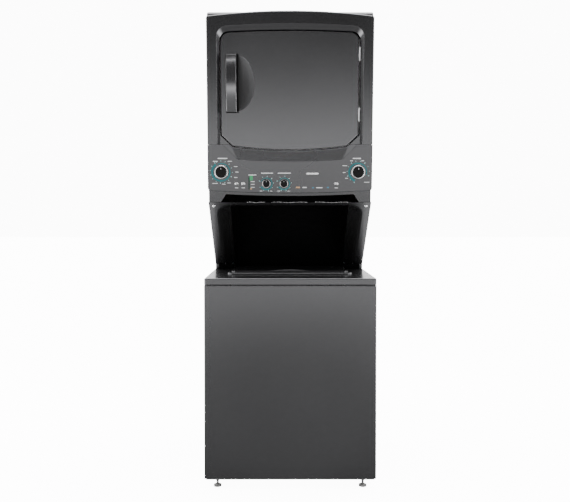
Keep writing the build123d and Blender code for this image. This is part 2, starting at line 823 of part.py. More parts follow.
# Top panel with a large rolled front edge
with BuildPart() as dryer_top_panel:
    with BuildSketch(level(top_panel_z)):
        with Locations((0, (top_front_y + back_y) / 2)):
            Rectangle(tower_width, back_y - top_front_y)
    extrude(amount=top_panel_height)
    top_face = dryer_top_panel.faces().sort_by(Axis.Z)[-1]
    fillet(top_face.edges().sort_by(Axis.Y)[0], 17)
    sides_up = dryer_top_panel.faces().sort_by(Axis.Z)[-1].edges().filter_by(Axis.Y)
    fillet(sides_up, 6)
    offset(amount=-1.5, openings=dryer_top_panel.faces().sort_by(Axis.Z)[0])
dryer_top_panel.part.label = "dryer_top_panel"
export_step(dryer_top_panel.part, "parts/dryer_top_panel.step")

# ================================================================ leaning front
far_below = -150
far_above = 600


def well_ring(side):
    """The well's wall behind the front, above (1) or below (-1) the seam."""
    with BuildSketch() as ring:
        add(well_outline(well_wall))
        add(well_outline(), mode=Mode.SUBTRACT)
        with Locations((0, side * (far_above / 2 + seam))):
            Rectangle(2 * washer_width, far_above, mode=Mode.INTERSECT)
    return ring.sketch


def is_recess_edge(edge):
    """Whether an edge of the front frame's face is on the recess round the door."""
    middle = front.to_local_coords(edge @ 0.5)
    return abs(middle.X) < recess_half + 1 and seam + 1 < middle.Y < recess_top + 1


frame_corner = frame_top - frame_top_sag
with BuildPart() as dryer_front_frame:
    with BuildSketch(front) as frame_outline:
        with BuildLine():
            ThreePointArc((-frame_half, frame_corner), (0, frame_top), (frame_half, frame_corner))
            Line((frame_half, frame_corner), (frame_half, seam))
            Polyline((frame_half, seam), (-frame_half, seam), (-frame_half, frame_corner))
        make_face()
        fillet(frame_outline.vertices().group_by(Axis.Y)[-1], frame_corner_radius)
    extrude(amount=-frame_depth)
    outer_face = dryer_front_frame.faces().sort_by(front_axis)[-1]
    fillet(outer_face.edges().sort_by(Axis.Z)[1:], frame_edge_radius)
    with BuildSketch(front):
        add(arched(-recess_half, recess_half, recess_top, recess_sag, far_below, recess_radius, 20))
    with BuildSketch(front.offset(-recess_depth)):
        floor_half = door_half + door_gap
        floor_top = door_top + door_gap
        floor_radius = door_top_radius + door_gap
        add(arched(-floor_half, floor_half, floor_top, door_sag, far_below, floor_radius, 20))
    loft(ruled=True, mode=Mode.SUBTRACT)
    face_edges = dryer_front_frame.faces().sort_by(front_axis)[-1].edges()
    recess_edges = [edge for edge in face_edges if is_recess_edge(edge)]
    fillet(recess_edges, recess_edge_radius)
    with BuildSketch(front):
        add(well_outline())
    extrude(amount=-frame_depth, mode=Mode.SUBTRACT)
    with BuildSketch(front.offset(-frame_depth + 1)):
        add(well_ring(1))
    extrude(amount=-(recess_depth + well_depth - frame_depth + 1))
dryer_front_frame.part.label = "dryer_front_frame"
export_step(dryer_front_frame.part, "parts/dryer_front_frame.step")

# Controls: the centre of each on the leaning front
big_knob_radius = 29
small_knob_radius = 18
knobs = {
    "washer_cycle_knob": ((-285, -113), big_knob_radius),
    "dryer_cycle_knob": ((283, -113), big_knob_radius),
    "temperature_knob": ((-98, -161), small_knob_radius),
    "load_size_knob": ((-25, -161), small_knob_radius),
}
buttons = {
    "rinse_button": (-222, -161),
    "soak_button": (-194, -161),
    "start_button": (193, -161),
}
stem_radius = 3
button_width = 15
button_height = 11
button_play = 0.4
status_at = (-170, -160)
status_size = (5, 52)
button_skirt = 8
fascia_corners = [(-frame_half, fascia_bottom), (frame_half, fascia_bottom)]
hollow_low = fascia_bottom - 2  # of the space behind the fascia's wall
hollow_high = trough_bottom - 22

with BuildPart() as control_fascia:
    with BuildSketch(front.offset(fascia_proud)) as fascia_outline:
        with BuildLine():
            ThreePointArc(fascia_corners[0], (0, fascia_bottom - fascia_bottom_sag), fascia_corners[1])
            Polyline(fascia_corners[1], (frame_half, -seam), (-frame_half, -seam), fascia_corners[0])
        make_face()
        fillet(fascia_outline.vertices().group_by(Axis.Y)[0], 12)
    extrude(amount=-frame_depth - fascia_proud)
    with BuildSketch(front.offset(fascia_proud)):
        add(trough(308, 216, trough_bottom, trough_sag, 26))
    with BuildSketch(front.offset(-recess_depth)):
        add(trough(286, 240, door_foot - door_gap - 3, 15, 12))
    loft(ruled=True, mode=Mode.SUBTRACT)
    fillet(control_fascia.faces().sort_by(front_axis)[-1].edges(), fascia_edge_radius)
    with BuildSketch(front):
        add(well_outline())
    extrude(amount=-frame_depth, mode=Mode.SUBTRACT)
    with BuildSketch(front.offset(-frame_depth + 1)):
        add(well_ring(-1))
    extrude(amount=-(recess_depth + well_depth - frame_depth + 1))
    with BuildSketch(front.offset(-frame_depth)):
        with Locations((0, (hollow_low + hollow_high) / 2)):
            Rectangle(2 * frame_half - 18, hollow_high - hollow_low)
    extrude(amount=frame_depth + fascia_proud - fascia_wall, mode=Mode.SUBTRACT)
    with BuildSketch(front.offset(fascia_proud)):
        with Locations(*[place for place, radius in knobs.values()]):
            Circle(stem_radius + 1)
        with Locations(*buttons.values()):
            RectangleRounded(button_width + 2 * button_play, button_height + 2 * button_play, 5)
        with Locations(status_at):
            RectangleRounded(*status_size, 1.5)
    extrude(amount=-fascia_wall - 1, mode=Mode.SUBTRACT)
control_fascia.part.label = "control_fascia"
export_step(control_fascia.part, "parts/control_fascia.step")

with BuildPart() as status_window:
    with BuildSketch(front.offset(fascia_proud - fascia_wall)):
        with Locations(status_at):
            RectangleRounded(status_size[0] - 0.4, status_size[1] - 0.4, 1.3)
    extrude(amount=fascia_wall - 0.6)
    with BuildSketch(front.offset(fascia_proud - fascia_wall - 2)):
        with Locations(status_at):
            Rectangle(status_size[0] + 8, status_size[1] + 4)
    extrude(amount=2)
status_window.part.label = "status_window"
export_step(status_window.part, "parts/status_window.step")

# Knobs: a skirt, a grip that narrows forward and a stem through the fascia
for name, (place, radius) in knobs.items():
    grip = radius * 0.8
    with BuildPart() as knob:
        with BuildSketch(front.offset(fascia_proud + 0.5)):
            with Locations(place):
                Circle(radius)
        extrude(amount=5)
        with BuildSketch(front.offset(fascia_proud + 5.5)):
            with Locations(place):
                Circle(grip)
        extrude(amount=radius * 0.55, taper=4)
        fillet(knob.edges().filter_by(GeomType.CIRCLE).sort_by(front_axis)[-1], 2)
        with BuildSketch(front.offset(fascia_proud + 0.5)):
            with Locations(place):
                Circle(stem_radius)
        extrude(amount=-14)
    knob.part.label = name
    export_step(knob.part, f"parts/{name}.step")

for name, place in buttons.items():
    with BuildPart() as button:
        with BuildSketch(front.offset(fascia_proud + 2.5)):
            with Locations(place):
                RectangleRounded(button_width, button_height, 4.8)
        extrude(amount=-(fascia_wall + 2.5 + button_skirt))
        fillet(button.faces().sort_by(front_axis)[-1].edges(), 1.2)
        with BuildSketch(front.offset(fascia_proud - fascia_wall - button_play)):
            with Locations(place):
                RectangleRounded(button_width + 5, button_height + 5, 4)
        extrude(amount=-2)
    button.part.label = name
    export_step(button.part, f"parts/{name}.step")

# Valance under the fascia, with a hollow in it that clears the washer's lid and the user's hand
hollow_foot_half = 291
hollow_top_half = 266
hollow_top = -205
with BuildPart() as lower_valance:
    with BuildSketch(front):
        with Locations((0, (valance_bottom + fascia_bottom - seam) / 2)):
            Rectangle(2 * valance_half, fascia_bottom - seam - valance_bottom)
        with BuildLine():
            ThreePointArc((-hollow_top_half, hollow_top), (0, hollow_top - 7), (hollow_top_half, hollow_top))
            Polyline(
                (hollow_top_half, hollow_top),
                (hollow_foot_half, valance_bottom - 5),
                (-hollow_foot_half, valance_bottom - 5),
                (-hollow_top_half, hollow_top),
            )
        make_face(mode=Mode.SUBTRACT)
        with BuildLine():
            ThreePointArc(fascia_corners[0], (0, fascia_bottom - fascia_bottom_sag - seam), fascia_corners[1])
            Polyline(fascia_corners[1], (frame_half, 0), (-frame_half, 0), fascia_corners[0])
        make_face(mode=Mode.SUBTRACT)
    extrude(amount=-valance_depth)
lower_valance.part.label = "lower_valance"
export_step(lower_valance.part, "parts/lower_valance.step")

# ================================================================ access panel and lid pocket
slope = atan2(slope_top_z - slope_foot_z, slope_foot_y - slope_top_y)
slope_out = (0, -sin(slope), -cos(slope))
slope_plane = Plane(origin=(0, slope_foot_y, slope_foot_z), x_dir=(1, 0, 0), z_dir=slope_out)
slope_length = hypot(slope_top_z - slope_foot_z, slope_foot_y - slope_top_y)
slab_top_y = slope_top_y + slab_depth / sin(slope)
slab_back_y = slope_foot_y + slab_depth
slab_back_z = slope_foot_z + slab_depth / cos(slope) - slab_depth * tan(slope)
mouth_top = slope_length - 36  # up the slope, at the panel's face
panel_half = tower_half - sheet - 0.3

mouth_half = 296
mouth_edge_radius = 36


def is_rim_edge(edge):
    """Whether an edge is where the access panel's sloping face turns into the pocket's mouth."""
    middle = slope_plane.to_local_coords(edge @ 0.5)
    inside = abs(middle.X) < mouth_half + 1 and middle.Y < mouth_top + 1
    return abs(middle.Z) < 0.1 and inside and middle.Y > 1


with BuildPart() as access_panel:
    with BuildSketch(Plane.YZ.offset(-panel_half)):
        with BuildLine():
            Polyline(
                (slope_top_y, slope_top_z),
                (slope_foot_y, slope_foot_z),
                (slope_foot_y, side_foot_z),
                (slab_back_y, side_foot_z),
                (slab_back_y, slab_back_z),
                (slab_top_y, slope_top_z),
                close=True,
            )
        make_face()
    extrude(amount=2 * panel_half)
    with BuildSketch(slope_plane):
        with Locations((0, (mouth_top - 200) / 2)):
            RectangleRounded(2 * mouth_half, mouth_top + 200, 44)
    with BuildSketch(slope_plane.offset(-slab_depth)):
        with Locations((0, (mouth_top - 8 - 200) / 2)):
            RectangleRounded(2 * (pocket_half - 2), mouth_top - 8 + 200, 20)
    loft(ruled=True, mode=Mode.SUBTRACT)
    rim = [edge for edge in access_panel.edges() if is_rim_edge(edge)]
    fillet(rim, mouth_edge_radius)
    with BuildSketch(Plane.YZ.offset(-pocket_half + 2)):
        with BuildLine():
            Polyline(
                (slope_foot_y - 100, side_foot_z - 5),
                (slab_back_y + 5, side_foot_z - 5),
                (slab_back_y + 5, slab_back_z + 1),
                (slope_foot_y - 100, slab_back_z + 1),
                close=True,
            )
        make_face()
    extrude(amount=2 * pocket_half - 4, mode=Mode.SUBTRACT)
access_panel.part.label = "access_panel"
export_step(access_panel.part, "parts/access_panel.step")

screw_x = 319
screw_up = slope_length - 24
with BuildPart() as panel_screws:
    with BuildSketch(slope_plane):
        with Locations((-screw_x, screw_up), (screw_x, screw_up)):
            Circle(6)
    extrude(amount=3)
    fillet(panel_screws.edges().filter_by(GeomType.CIRCLE).group_by(Axis.Y)[0], 1.5)
panel_screws.part.label = "panel_screws"
export_step(panel_screws.part, "parts/panel_screws.step")

# Liner of the pocket that the open lid stands in
liner_wall = 1.5
liner_front_y = front_point(valance_bottom, -valance_depth)[0] + 5
with BuildPart() as pocket_liner:
    with BuildSketch(Plane.YZ.offset(-pocket_half - liner_wall)):
        with BuildLine():
            Polyline(
                (liner_front_y, pocket_top_z + liner_wall),
                (pocket_back_y + liner_wall, pocket_top_z + liner_wall),
                (pocket_back_y + liner_wall, side_foot_z + 1),
                (slab_back_y + 1, side_foot_z + 1),
                (slab_back_y + 1, slab_back_z + 1),
                (slab_top_y + 1, slope_top_z + 1),
                (liner_front_y, slope_top_z + 1),
                close=True,
            )
        make_face()
    extrude(amount=2 * (pocket_half + liner_wall))
    with BuildSketch(Plane.YZ.offset(-pocket_half)):
        with BuildLine():
            Polyline(
                (liner_front_y - 50, pocket_top_z),
                (pocket_back_y, pocket_top_z),
                (pocket_back_y, side_foot_z - 50),
                (liner_front_y - 50, side_foot_z - 50),
                close=True,
            )
        make_face()
    extrude(amount=2 * pocket_half, mode=Mode.SUBTRACT)
pocket_liner.part.label = "pocket_liner"
export_step(pocket_liner.part, "parts/pocket_liner.step")

# ================================================================ dryer door
door_face = front.offset(-door_inset)
door_back = front.offset(-door_inset - door_depth)
dish_at = (-222, 250)
dish_radius = 200
dish_reach = 300
dish_out = 185  # distance of the dish's axis in front of the door's face
dish_left = -258
dish_wall = 2.5


def dish(grow, start):
    """The handle's dish: an upright spindle, cut off at the left and in front of the door's face."""
    middle = front.offset(dish_out - door_inset)
    spindle_axis = Axis(middle.from_local_coords(Vector(*dish_at, 0)), front.y_dir)
    with BuildPart() as spindle:
        with BuildSketch(middle):
            with Locations(dish_at):
                Ellipse(dish_radius + grow, dish_reach + grow)
                with Locations((-dish_radius, 0)):
                    Rectangle(2 * dish_radius, 3 * dish_reach, mode=Mode.SUBTRACT)
        revolve(axis=spindle_axis)
        with BuildSketch(door_face.offset(start)):
            with Locations((dish_left - grow + dish_reach, dish_at[1])):
                Rectangle(2 * dish_reach, 3 * dish_reach)
        extrude(amount=-door_depth - door_skin, mode=Mode.INTERSECT)
    return spindle.part


with BuildPart() as door_outer_panel:
    with BuildSketch(door_face):
        add(door_outline(0, 0, 0))
    extrude(amount=-door_depth)
    fillet(door_outer_panel.faces().sort_by(front_axis)[-1].edges(), 3)
    with BuildSketch(door_back):
        add(door_outline(-door_skin, -door_skin, -door_skin))
    extrude(amount=door_depth - door_skin, mode=Mode.SUBTRACT)
    add(dish(dish_wall, -door_skin / 2))
    add(dish(0, door_skin), mode=Mode.SUBTRACT)
door_outer_panel.part.label = "door_outer_panel"
export_step(door_outer_panel.part, "parts/door_outer_panel.step")

# Inner panel: a plate inside the outer panel's rim, with a plug that reaches into the collar
plug_depth = 22
plug_out = -recess_depth - well_depth
plug_at = (0, (collar_z - seam_z + plug_out * sin(radians(lean))) / cos(radians(lean)))
plug_radius = 165
with BuildPart() as door_inner_panel:
    with BuildSketch(front.offset(-door_inset - door_depth + 3)):
        add(door_outline(-door_skin - 0.4, -door_skin - 0.4, -door_skin - 0.4))
    extrude(amount=-2.5)
    with BuildSketch(front.offset(-door_inset - door_depth + 3)):
        with Locations(plug_at):
            Circle(plug_radius)
    extrude(amount=-plug_depth - 3, taper=8)
    fillet(door_inner_panel.edges().filter_by(GeomType.CIRCLE).sort_by(front_axis)[0], 8)
    with BuildSketch(front.offset(-door_inset - door_depth + 3)):
        with Locations(plug_at):
            Circle(plug_radius - 18)
    extrude(amount=-plug_depth, taper=8, mode=Mode.SUBTRACT)
door_inner_panel.part.label = "door_inner_panel"
export_step(door_inner_panel.part, "parts/door_inner_panel.step")

with BuildPart() as door_seal:
    with BuildSketch(front.offset(-door_inset - door_depth + 0.4)):
        with Locations(plug_at):
            Circle(collar_radius + 15)
            Circle(collar_radius + 2, mode=Mode.SUBTRACT)
    extrude(amount=-8)
    fillet(door_seal.edges().group_by(front_axis)[0], 3)
door_seal.part.label = "door_seal"
export_step(door_seal.part, "parts/door_seal.step")

# Handle: a bowed bar across the dish
handle_x = -241
handle_width = 43
handle_half = 117
handle_rise = 22
handle_thickness = 11
handle_plane = Plane(
    origin=door_face.from_local_coords(Vector(handle_x - handle_width / 2, dish_at[1], 0)),
    x_dir=front.y_dir,
    z_dir=(1, 0, 0),
)
out = -1 if handle_plane.y_dir.dot(front.z_dir) < 0 else 1
with BuildPart() as door_handle:
    with BuildSketch(handle_plane):
        with BuildLine():
            ThreePointArc((-handle_half, out * 6), (0, out * handle_rise), (handle_half, out * 6))
            Polyline((handle_half, out * 6), (handle_half, 0), (handle_half - 16, 0))
            ThreePointArc(
                (handle_half - 16, 0),
                (0, out * (handle_rise - handle_thickness)),
                (-handle_half + 16, 0),
            )
            Polyline((-handle_half + 16, 0), (-handle_half, 0), (-handle_half, out * 6))
        make_face()
    extrude(amount=handle_width)
    fillet(door_handle.faces().sort_by(front_axis)[-1].edges(), 2.5)
door_handle.part.label = "door_handle"
export_step(door_handle.part, "parts/door_handle.step")

# Door hinges: knuckle leaves on the door, and brackets with the pins on the well's wall
hinge_x = door_half + door_gap - hinge_gap / 2
hinge_out = -door_inset
hinge_ups = (123, 368)
knuckle_radius = 3.5
knuckle_length = 34
barrel_length = 10
hinge_pin_radius = 1.6
leaf = 1.6
door_edge_x = door_half + door_gap - hinge_gap
wall_x = door_half + door_gap


def hinge_bar(radius, start, length):
    """A round bar on the hinge axis, from start up the lean."""
    foot = front.from_local_coords(Vector(hinge_x, start, hinge_out))
    with BuildPart() as bar:
        with BuildSketch(Plane(origin=foot, x_dir=(1, 0, 0), z_dir=front.y_dir)):
            Circle(radius)
        extrude(amount=length)
    return bar.part


def hinge_plate(x_from, x_to, up_from, up_to, out_from, out_to):
    """A flat plate beside the hinge axis, between two places across, up and out."""
    with BuildPart() as plate:
        with BuildSketch(front.offset(out_from)):
            with Locations(((x_from + x_to) / 2, (up_from + up_to) / 2)):
                Rectangle(x_to - x_from, up_to - up_from)
        extrude(amount=out_to - out_from)
    return plate.part


with BuildPart() as door_hinge_leaves:
    for up in hinge_ups:
        start = up - knuckle_length / 2
        add(hinge_bar(knuckle_radius, start, knuckle_length))
        end = start + knuckle_length
        add(hinge_plate(door_edge_x, door_edge_x + leaf, start, end, hinge_out, hinge_out - 32))
        add(hinge_bar(hinge_pin_radius + running, start - 1, knuckle_length + 2), mode=Mode.SUBTRACT)
door_hinge_leaves.part.label = "door_hinge_leaves"
export_step(door_hinge_leaves.part, "parts/door_hinge_leaves.step")

with BuildPart() as door_hinge_brackets:
    for up in hinge_ups:
        low = up - knuckle_length / 2 - 0.5 - barrel_length
        high = up + knuckle_length / 2 + 0.5
        for start in (low, high):
            add(hinge_bar(knuckle_radius, start, barrel_length))
            add(hinge_plate(hinge_x, wall_x, start, start + barrel_length, hinge_out, hinge_out - 8))
        add(hinge_plate(wall_x - leaf, wall_x, low, high + barrel_length, hinge_out - 6, hinge_out - 38))
        add(hinge_bar(hinge_pin_radius, low, high + barrel_length - low))
door_hinge_brackets.part.label = "door_hinge_brackets"
export_step(door_hinge_brackets.part, "parts/door_hinge_brackets.step")

# ================================================================ dryer inside
# Front bulkhead: leaning plate behind the door, a level collar, and the drum's upright front plate
plate_out = -recess_depth - well_depth - seam
filter_front_y = bulkhead_y - 21
filter_half = 88
filter_thickness = 12
with BuildPart() as front_bulkhead:
    with BuildSketch(front.offset(plate_out)):
        with Locations((0, 220)):
            Rectangle(2 * tower_half - 60, 560)
    extrude(amount=-bulkhead_sheet)
    with BuildSketch(facing(bulkhead_y)):
        with Locations((0, drum_z)):
            Circle(drum_radius + 10)
    extrude(amount=-bulkhead_sheet)
    with BuildSketch(facing(bulkhead_y)):
        with Locations((0, collar_z)):
            Circle(collar_radius + bulkhead_sheet)
    extrude(amount=160)
    with BuildSketch(front.offset(plate_out)):
        Rectangle(4 * tower_half, 4 * tower_half)
    extrude(amount=300, mode=Mode.SUBTRACT)
    with BuildSketch(facing(bulkhead_y - 300)):
        with Locations((0, collar_z)):
            Circle(collar_radius)
    extrude(amount=-320, mode=Mode.SUBTRACT)
    with BuildSketch(level(collar_z - collar_radius - 12)):
        with Locations((0, filter_front_y + filter_thickness / 2)):
            Rectangle(2 * filter_half + 2, filter_thickness + 2)
    extrude(amount=40, mode=Mode.SUBTRACT)
front_bulkhead.part.label = "front_bulkhead"
export_step(front_bulkhead.part, "parts/front_bulkhead.step")

filter_bottom = 1232
filter_top = collar_z - collar_radius + 12
with BuildPart() as lint_filter:
    with BuildSketch(facing(filter_front_y)):
        with Locations((0, (filter_bottom + filter_top) / 2)):
            RectangleRounded(2 * filter_half, filter_top - filter_bottom, 6)
    extrude(amount=-filter_thickness)
    with BuildSketch(facing(filter_front_y)):
        with Locations((0, (filter_bottom + filter_top) / 2 - 6)):
            with GridLocations(56, 44, 3, 3):
                RectangleRounded(50, 38, 3)
    extrude(amount=-4, mode=Mode.SUBTRACT)
lint_filter.part.label = "lint_filter"
export_step(lint_filter.part, "parts/lint_filter.step")

# Lint duct: holds the filter, runs back under the drum and drops to the blower
duct_wall = 1.5
duct_front_y = filter_front_y - duct_wall - 2
duct_rear_y = bulkhead_y - 3
duct_half = filter_half + duct_wall + 2
duct_bottom = pocket_top_z + liner_wall + 2
duct_top = collar_z - collar_radius - 8
channel_top = drum_z - drum_radius - 14
drop_front_y = pocket_back_y + liner_wall + 2
drop_rear_y = drop_front_y + 17
drop_left = motor_at[0] - 42
drop_right = motor_at[0] + 42
drop_bottom = motor_at[1] - 50


def duct_runs(shrink, open_top):
    """The duct's three runs: the filter's upright slot, the flat channel and the drop to the blower."""
    left = drop_left + shrink
    right = duct_half - shrink
    front_side = duct_front_y + shrink
    back_side = drop_rear_y - shrink
    floor = duct_bottom + shrink
    ceiling = channel_top - shrink
    slot = box_between(-right, right, front_side, duct_rear_y - shrink, floor, open_top)
    channel = box_between(left, right, front_side, back_side, floor, ceiling)
    foot = drop_bottom + shrink
    drop = box_between(left, drop_right - shrink, drop_front_y + shrink, back_side, foot, ceiling)
    return [slot, channel, drop]


with BuildPart() as lint_duct:
    add(duct_runs(0, duct_top))
    add(duct_runs(duct_wall, duct_top + 1), mode=Mode.SUBTRACT)
    with BuildSketch(facing(drop_rear_y)):
        with Locations(motor_at):
            Circle(36)
    extrude(amount=2 * duct_wall, mode=Mode.SUBTRACT)
lint_duct.part.label = "lint_duct"
export_step(lint_duct.part, "parts/lint_duct.step")

# Drum with a closed, perforated back and a stub shaft; three baffles inside
back_hole_count = 24
with BuildPart() as dryer_drum:
    with BuildSketch(facing(drum_front_y)):
        with Locations((0, drum_z)):
            Circle(drum_radius)
    extrude(amount=-(drum_back_y - drum_front_y))
    with BuildSketch(facing(drum_front_y)):
        with Locations((0, drum_z)):
            Circle(drum_radius - drum_wall)
    extrude(amount=-(drum_back_y - drum_front_y - drum_wall), mode=Mode.SUBTRACT)
    with BuildSketch(facing(drum_back_y)):
        with Locations((0, drum_z)):
            with PolarLocations(120, back_hole_count):
                Circle(6)
            with PolarLocations(160, back_hole_count):
                Circle(6)
            with PolarLocations(200, back_hole_count):
                Circle(6)
    extrude(amount=2 * drum_wall, mode=Mode.SUBTRACT)
    with BuildSketch(facing(drum_back_y)):
        with Locations((0, drum_z)):
            Circle(drum_shaft_radius)
    extrude(amount=-30)
dryer_drum.part.label = "dryer_drum"
export_step(dryer_drum.part, "parts/dryer_drum.step")

baffle_height = 62
baffle_length = 400
with BuildPart() as drum_baffles:
    with BuildSketch(facing((drum_front_y + drum_back_y - baffle_length) / 2)):
        with Locations((0, drum_z)):
            with PolarLocations(drum_radius - drum_wall - baffle_height / 2 - 2, 3, 90):
                Trapezoid(70, baffle_height, 66, rotation=90)
    extrude(amount=-baffle_length)
    fillet(drum_baffles.edges().filter_by(Axis.Y), 5)
drum_baffles.part.label = "drum_baffles"
export_step(drum_baffles.part, "parts/drum_baffles.step")

# Rear bulkhead with the drum's bearing
rear_bulkhead_y = drum_back_y + 12
with BuildPart() as rear_bulkhead:
    with BuildSketch(facing(rear_bulkhead_y)):
        with Locations((0, (1200 + 1890) / 2)):
            Rectangle(2 * tower_half - 20, 690)
        with Locations((0, drum_z)):
            with PolarLocations(160, 8, 22.5):
                Circle(34, mode=Mode.SUBTRACT)
    extrude(amount=-bulkhead_sheet)
    with BuildSketch(facing(rear_bulkhead_y)):
        with Locations((0, drum_z)):
            Circle(34)
    extrude(amount=-14)
    with BuildSketch(facing(rear_bulkhead_y)):
        with Locations((0, drum_z)):
            Circle(drum_shaft_radius + running)
    extrude(amount=-14, mode=Mode.SUBTRACT)
rear_bulkhead.part.label = "rear_bulkhead"
export_step(rear_bulkhead.part, "parts/rear_bulkhead.step")

# Heater box behind the bulkhead
heater_front_y = rear_bulkhead_y + bulkhead_sheet + seam
with BuildPart() as heater_housing:
    with BuildSketch(facing(heater_front_y)):
        with Locations((0, drum_z)):
            Circle(215)
            Circle(70, mode=Mode.SUBTRACT)
    extrude(amount=-34)
    with BuildSketch(facing(heater_front_y)):
        with Locations((0, drum_z)):
            Circle(213)
            Circle(72, mode=Mode.SUBTRACT)
    extrude(amount=-32, mode=Mode.SUBTRACT)
heater_housing.part.label = "heater_housing"
export_step(heater_housing.part, "parts/heater_housing.step")

# Motor, the shaft with its belt pulley, the blower wheel and the drum's belt
blower_front_y = drop_rear_y + 1
blower_depth = 36
blower_rear_y = blower_front_y + blower_depth
motor_front_y = drum_belt_y + drum_belt_width + 14
motor_shaft_radius = 6
with BuildPart() as dryer_motor:
    with BuildSketch(facing(motor_front_y)):
        with Locations(motor_at):
            Circle(56)
    extrude(amount=-66)
    fillet(dryer_motor.edges().filter_by(GeomType.CIRCLE), 5)
    with BuildSketch(facing(motor_front_y + 14)):
        with Locations((motor_at[0], motor_at[1] - 60)):
            Rectangle(100, 30)
    extrude(amount=-38)
dryer_motor.part.label = "dryer_motor"
export_step(dryer_motor.part, "parts/dryer_motor.step")

with BuildPart() as dryer_motor_pulley:
    with BuildSketch(facing(blower_front_y + 8)):
        with Locations(motor_at):
            Circle(motor_shaft_radius)
    extrude(amount=-(motor_front_y - seam - blower_front_y - 8))
    with BuildSketch(facing(drum_belt_y - 1)):
        with Locations(motor_at):
            Circle(motor_pulley_radius)
    extrude(amount=-(drum_belt_width + 2))
    for y in (drum_belt_y - 3, drum_belt_y + drum_belt_width + 1):
        with BuildSketch(facing(y)):
            with Locations(motor_at):
                Circle(motor_pulley_radius + 7)
        extrude(amount=-2)
dryer_motor_pulley.part.label = "dryer_motor_pulley"
export_step(dryer_motor_pulley.part, "parts/dryer_motor_pulley.step")

wheel_radius = 80
blade_count = 16
with BuildPart() as blower_wheel:
    with BuildSketch(facing(blower_rear_y - 8)):
        with Locations(motor_at):
            Circle(wheel_radius)
            Circle(motor_shaft_radius, mode=Mode.SUBTRACT)
    extrude(amount=2)
    with BuildSketch(facing(blower_rear_y - 10)):
        with Locations(motor_at):
            Circle(14)
            Circle(motor_shaft_radius, mode=Mode.SUBTRACT)
            with PolarLocations(wheel_radius - 14, blade_count):
                Rectangle(24, 2.5, rotation=20)
    extrude(amount=18)
blower_wheel.part.label = "blower_wheel"
export_step(blower_wheel.part, "parts/blower_wheel.step")

with BuildPart() as drum_belt:
    with BuildSketch(facing(drum_belt_y)):
        add(belt_loop((0, drum_z), drum_radius, motor_at, motor_pulley_radius))
    extrude(amount=-drum_belt_width)
drum_belt.part.label = "drum_belt"
export_step(drum_belt.part, "parts/drum_belt.step")

# Blower housing: a scroll with a side outlet to the exhaust pipe
scroll_radius = 96
outlet_right = exhaust_at[0] + exhaust_neck + 8
outlet_half = exhaust_neck + 8


def scroll(shrink):
    """The housing's outline: a round scroll and its outlet."""
    with BuildSketch() as outline:
        with Locations(motor_at):
            Circle(scroll_radius - shrink)
        with Locations(((motor_at[0] + outlet_right) / 2, exhaust_at[1])):
            Rectangle(outlet_right - motor_at[0] - 2 * shrink, 2 * (outlet_half - shrink))
    return outline.sketch


with BuildPart() as blower_housing:
    with BuildSketch(facing(blower_front_y)):
        add(scroll(0))
    extrude(amount=-blower_depth)
    with BuildSketch(facing(blower_front_y + duct_wall)):
        add(scroll(duct_wall))
    extrude(amount=-(blower_depth - 2 * duct_wall), mode=Mode.SUBTRACT)
    with BuildSketch(facing(blower_front_y)):
        with Locations(motor_at):
            Circle(36)
    extrude(amount=-duct_wall, mode=Mode.SUBTRACT)
    with BuildSketch(facing(blower_rear_y)):
        with Locations(motor_at):
            Circle(motor_shaft_radius + 3)
        with Locations(exhaust_at):
            Circle(exhaust_neck - 2)
    extrude(amount=duct_wall, mode=Mode.SUBTRACT)
blower_housing.part.label = "blower_housing"
export_step(blower_housing.part, "parts/blower_housing.step")

exhaust_wall = 0.8
with BuildPart() as exhaust_duct:
    with BuildSketch(facing(blower_rear_y)):
        with Locations(exhaust_at):
            Circle(exhaust_neck)
    extrude(amount=-(back_y + 1 - blower_rear_y))
    with BuildSketch(facing(back_y + 1)):
        with Locations(exhaust_at):
            Circle(exhaust_radius)
    extrude(amount=-(pipe_reach - 1))
    with BuildSketch(facing(blower_rear_y)):
        with Locations(exhaust_at):
            Circle(exhaust_neck - exhaust_wall)
    extrude(amount=-(total_depth / 2 - blower_rear_y), mode=Mode.SUBTRACT)
    with BuildSketch(facing(back_y + 3)):
        with Locations(exhaust_at):
            Circle(exhaust_radius - exhaust_wall)
    extrude(amount=-pipe_reach, mode=Mode.SUBTRACT)
exhaust_duct.part.label = "exhaust_duct"
export_step(exhaust_duct.part, "parts/exhaust_duct.step")
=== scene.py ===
import json
from math import cos, pi, radians, sin, sqrt

import bmesh
import bpy
from mathutils import Matrix, Vector


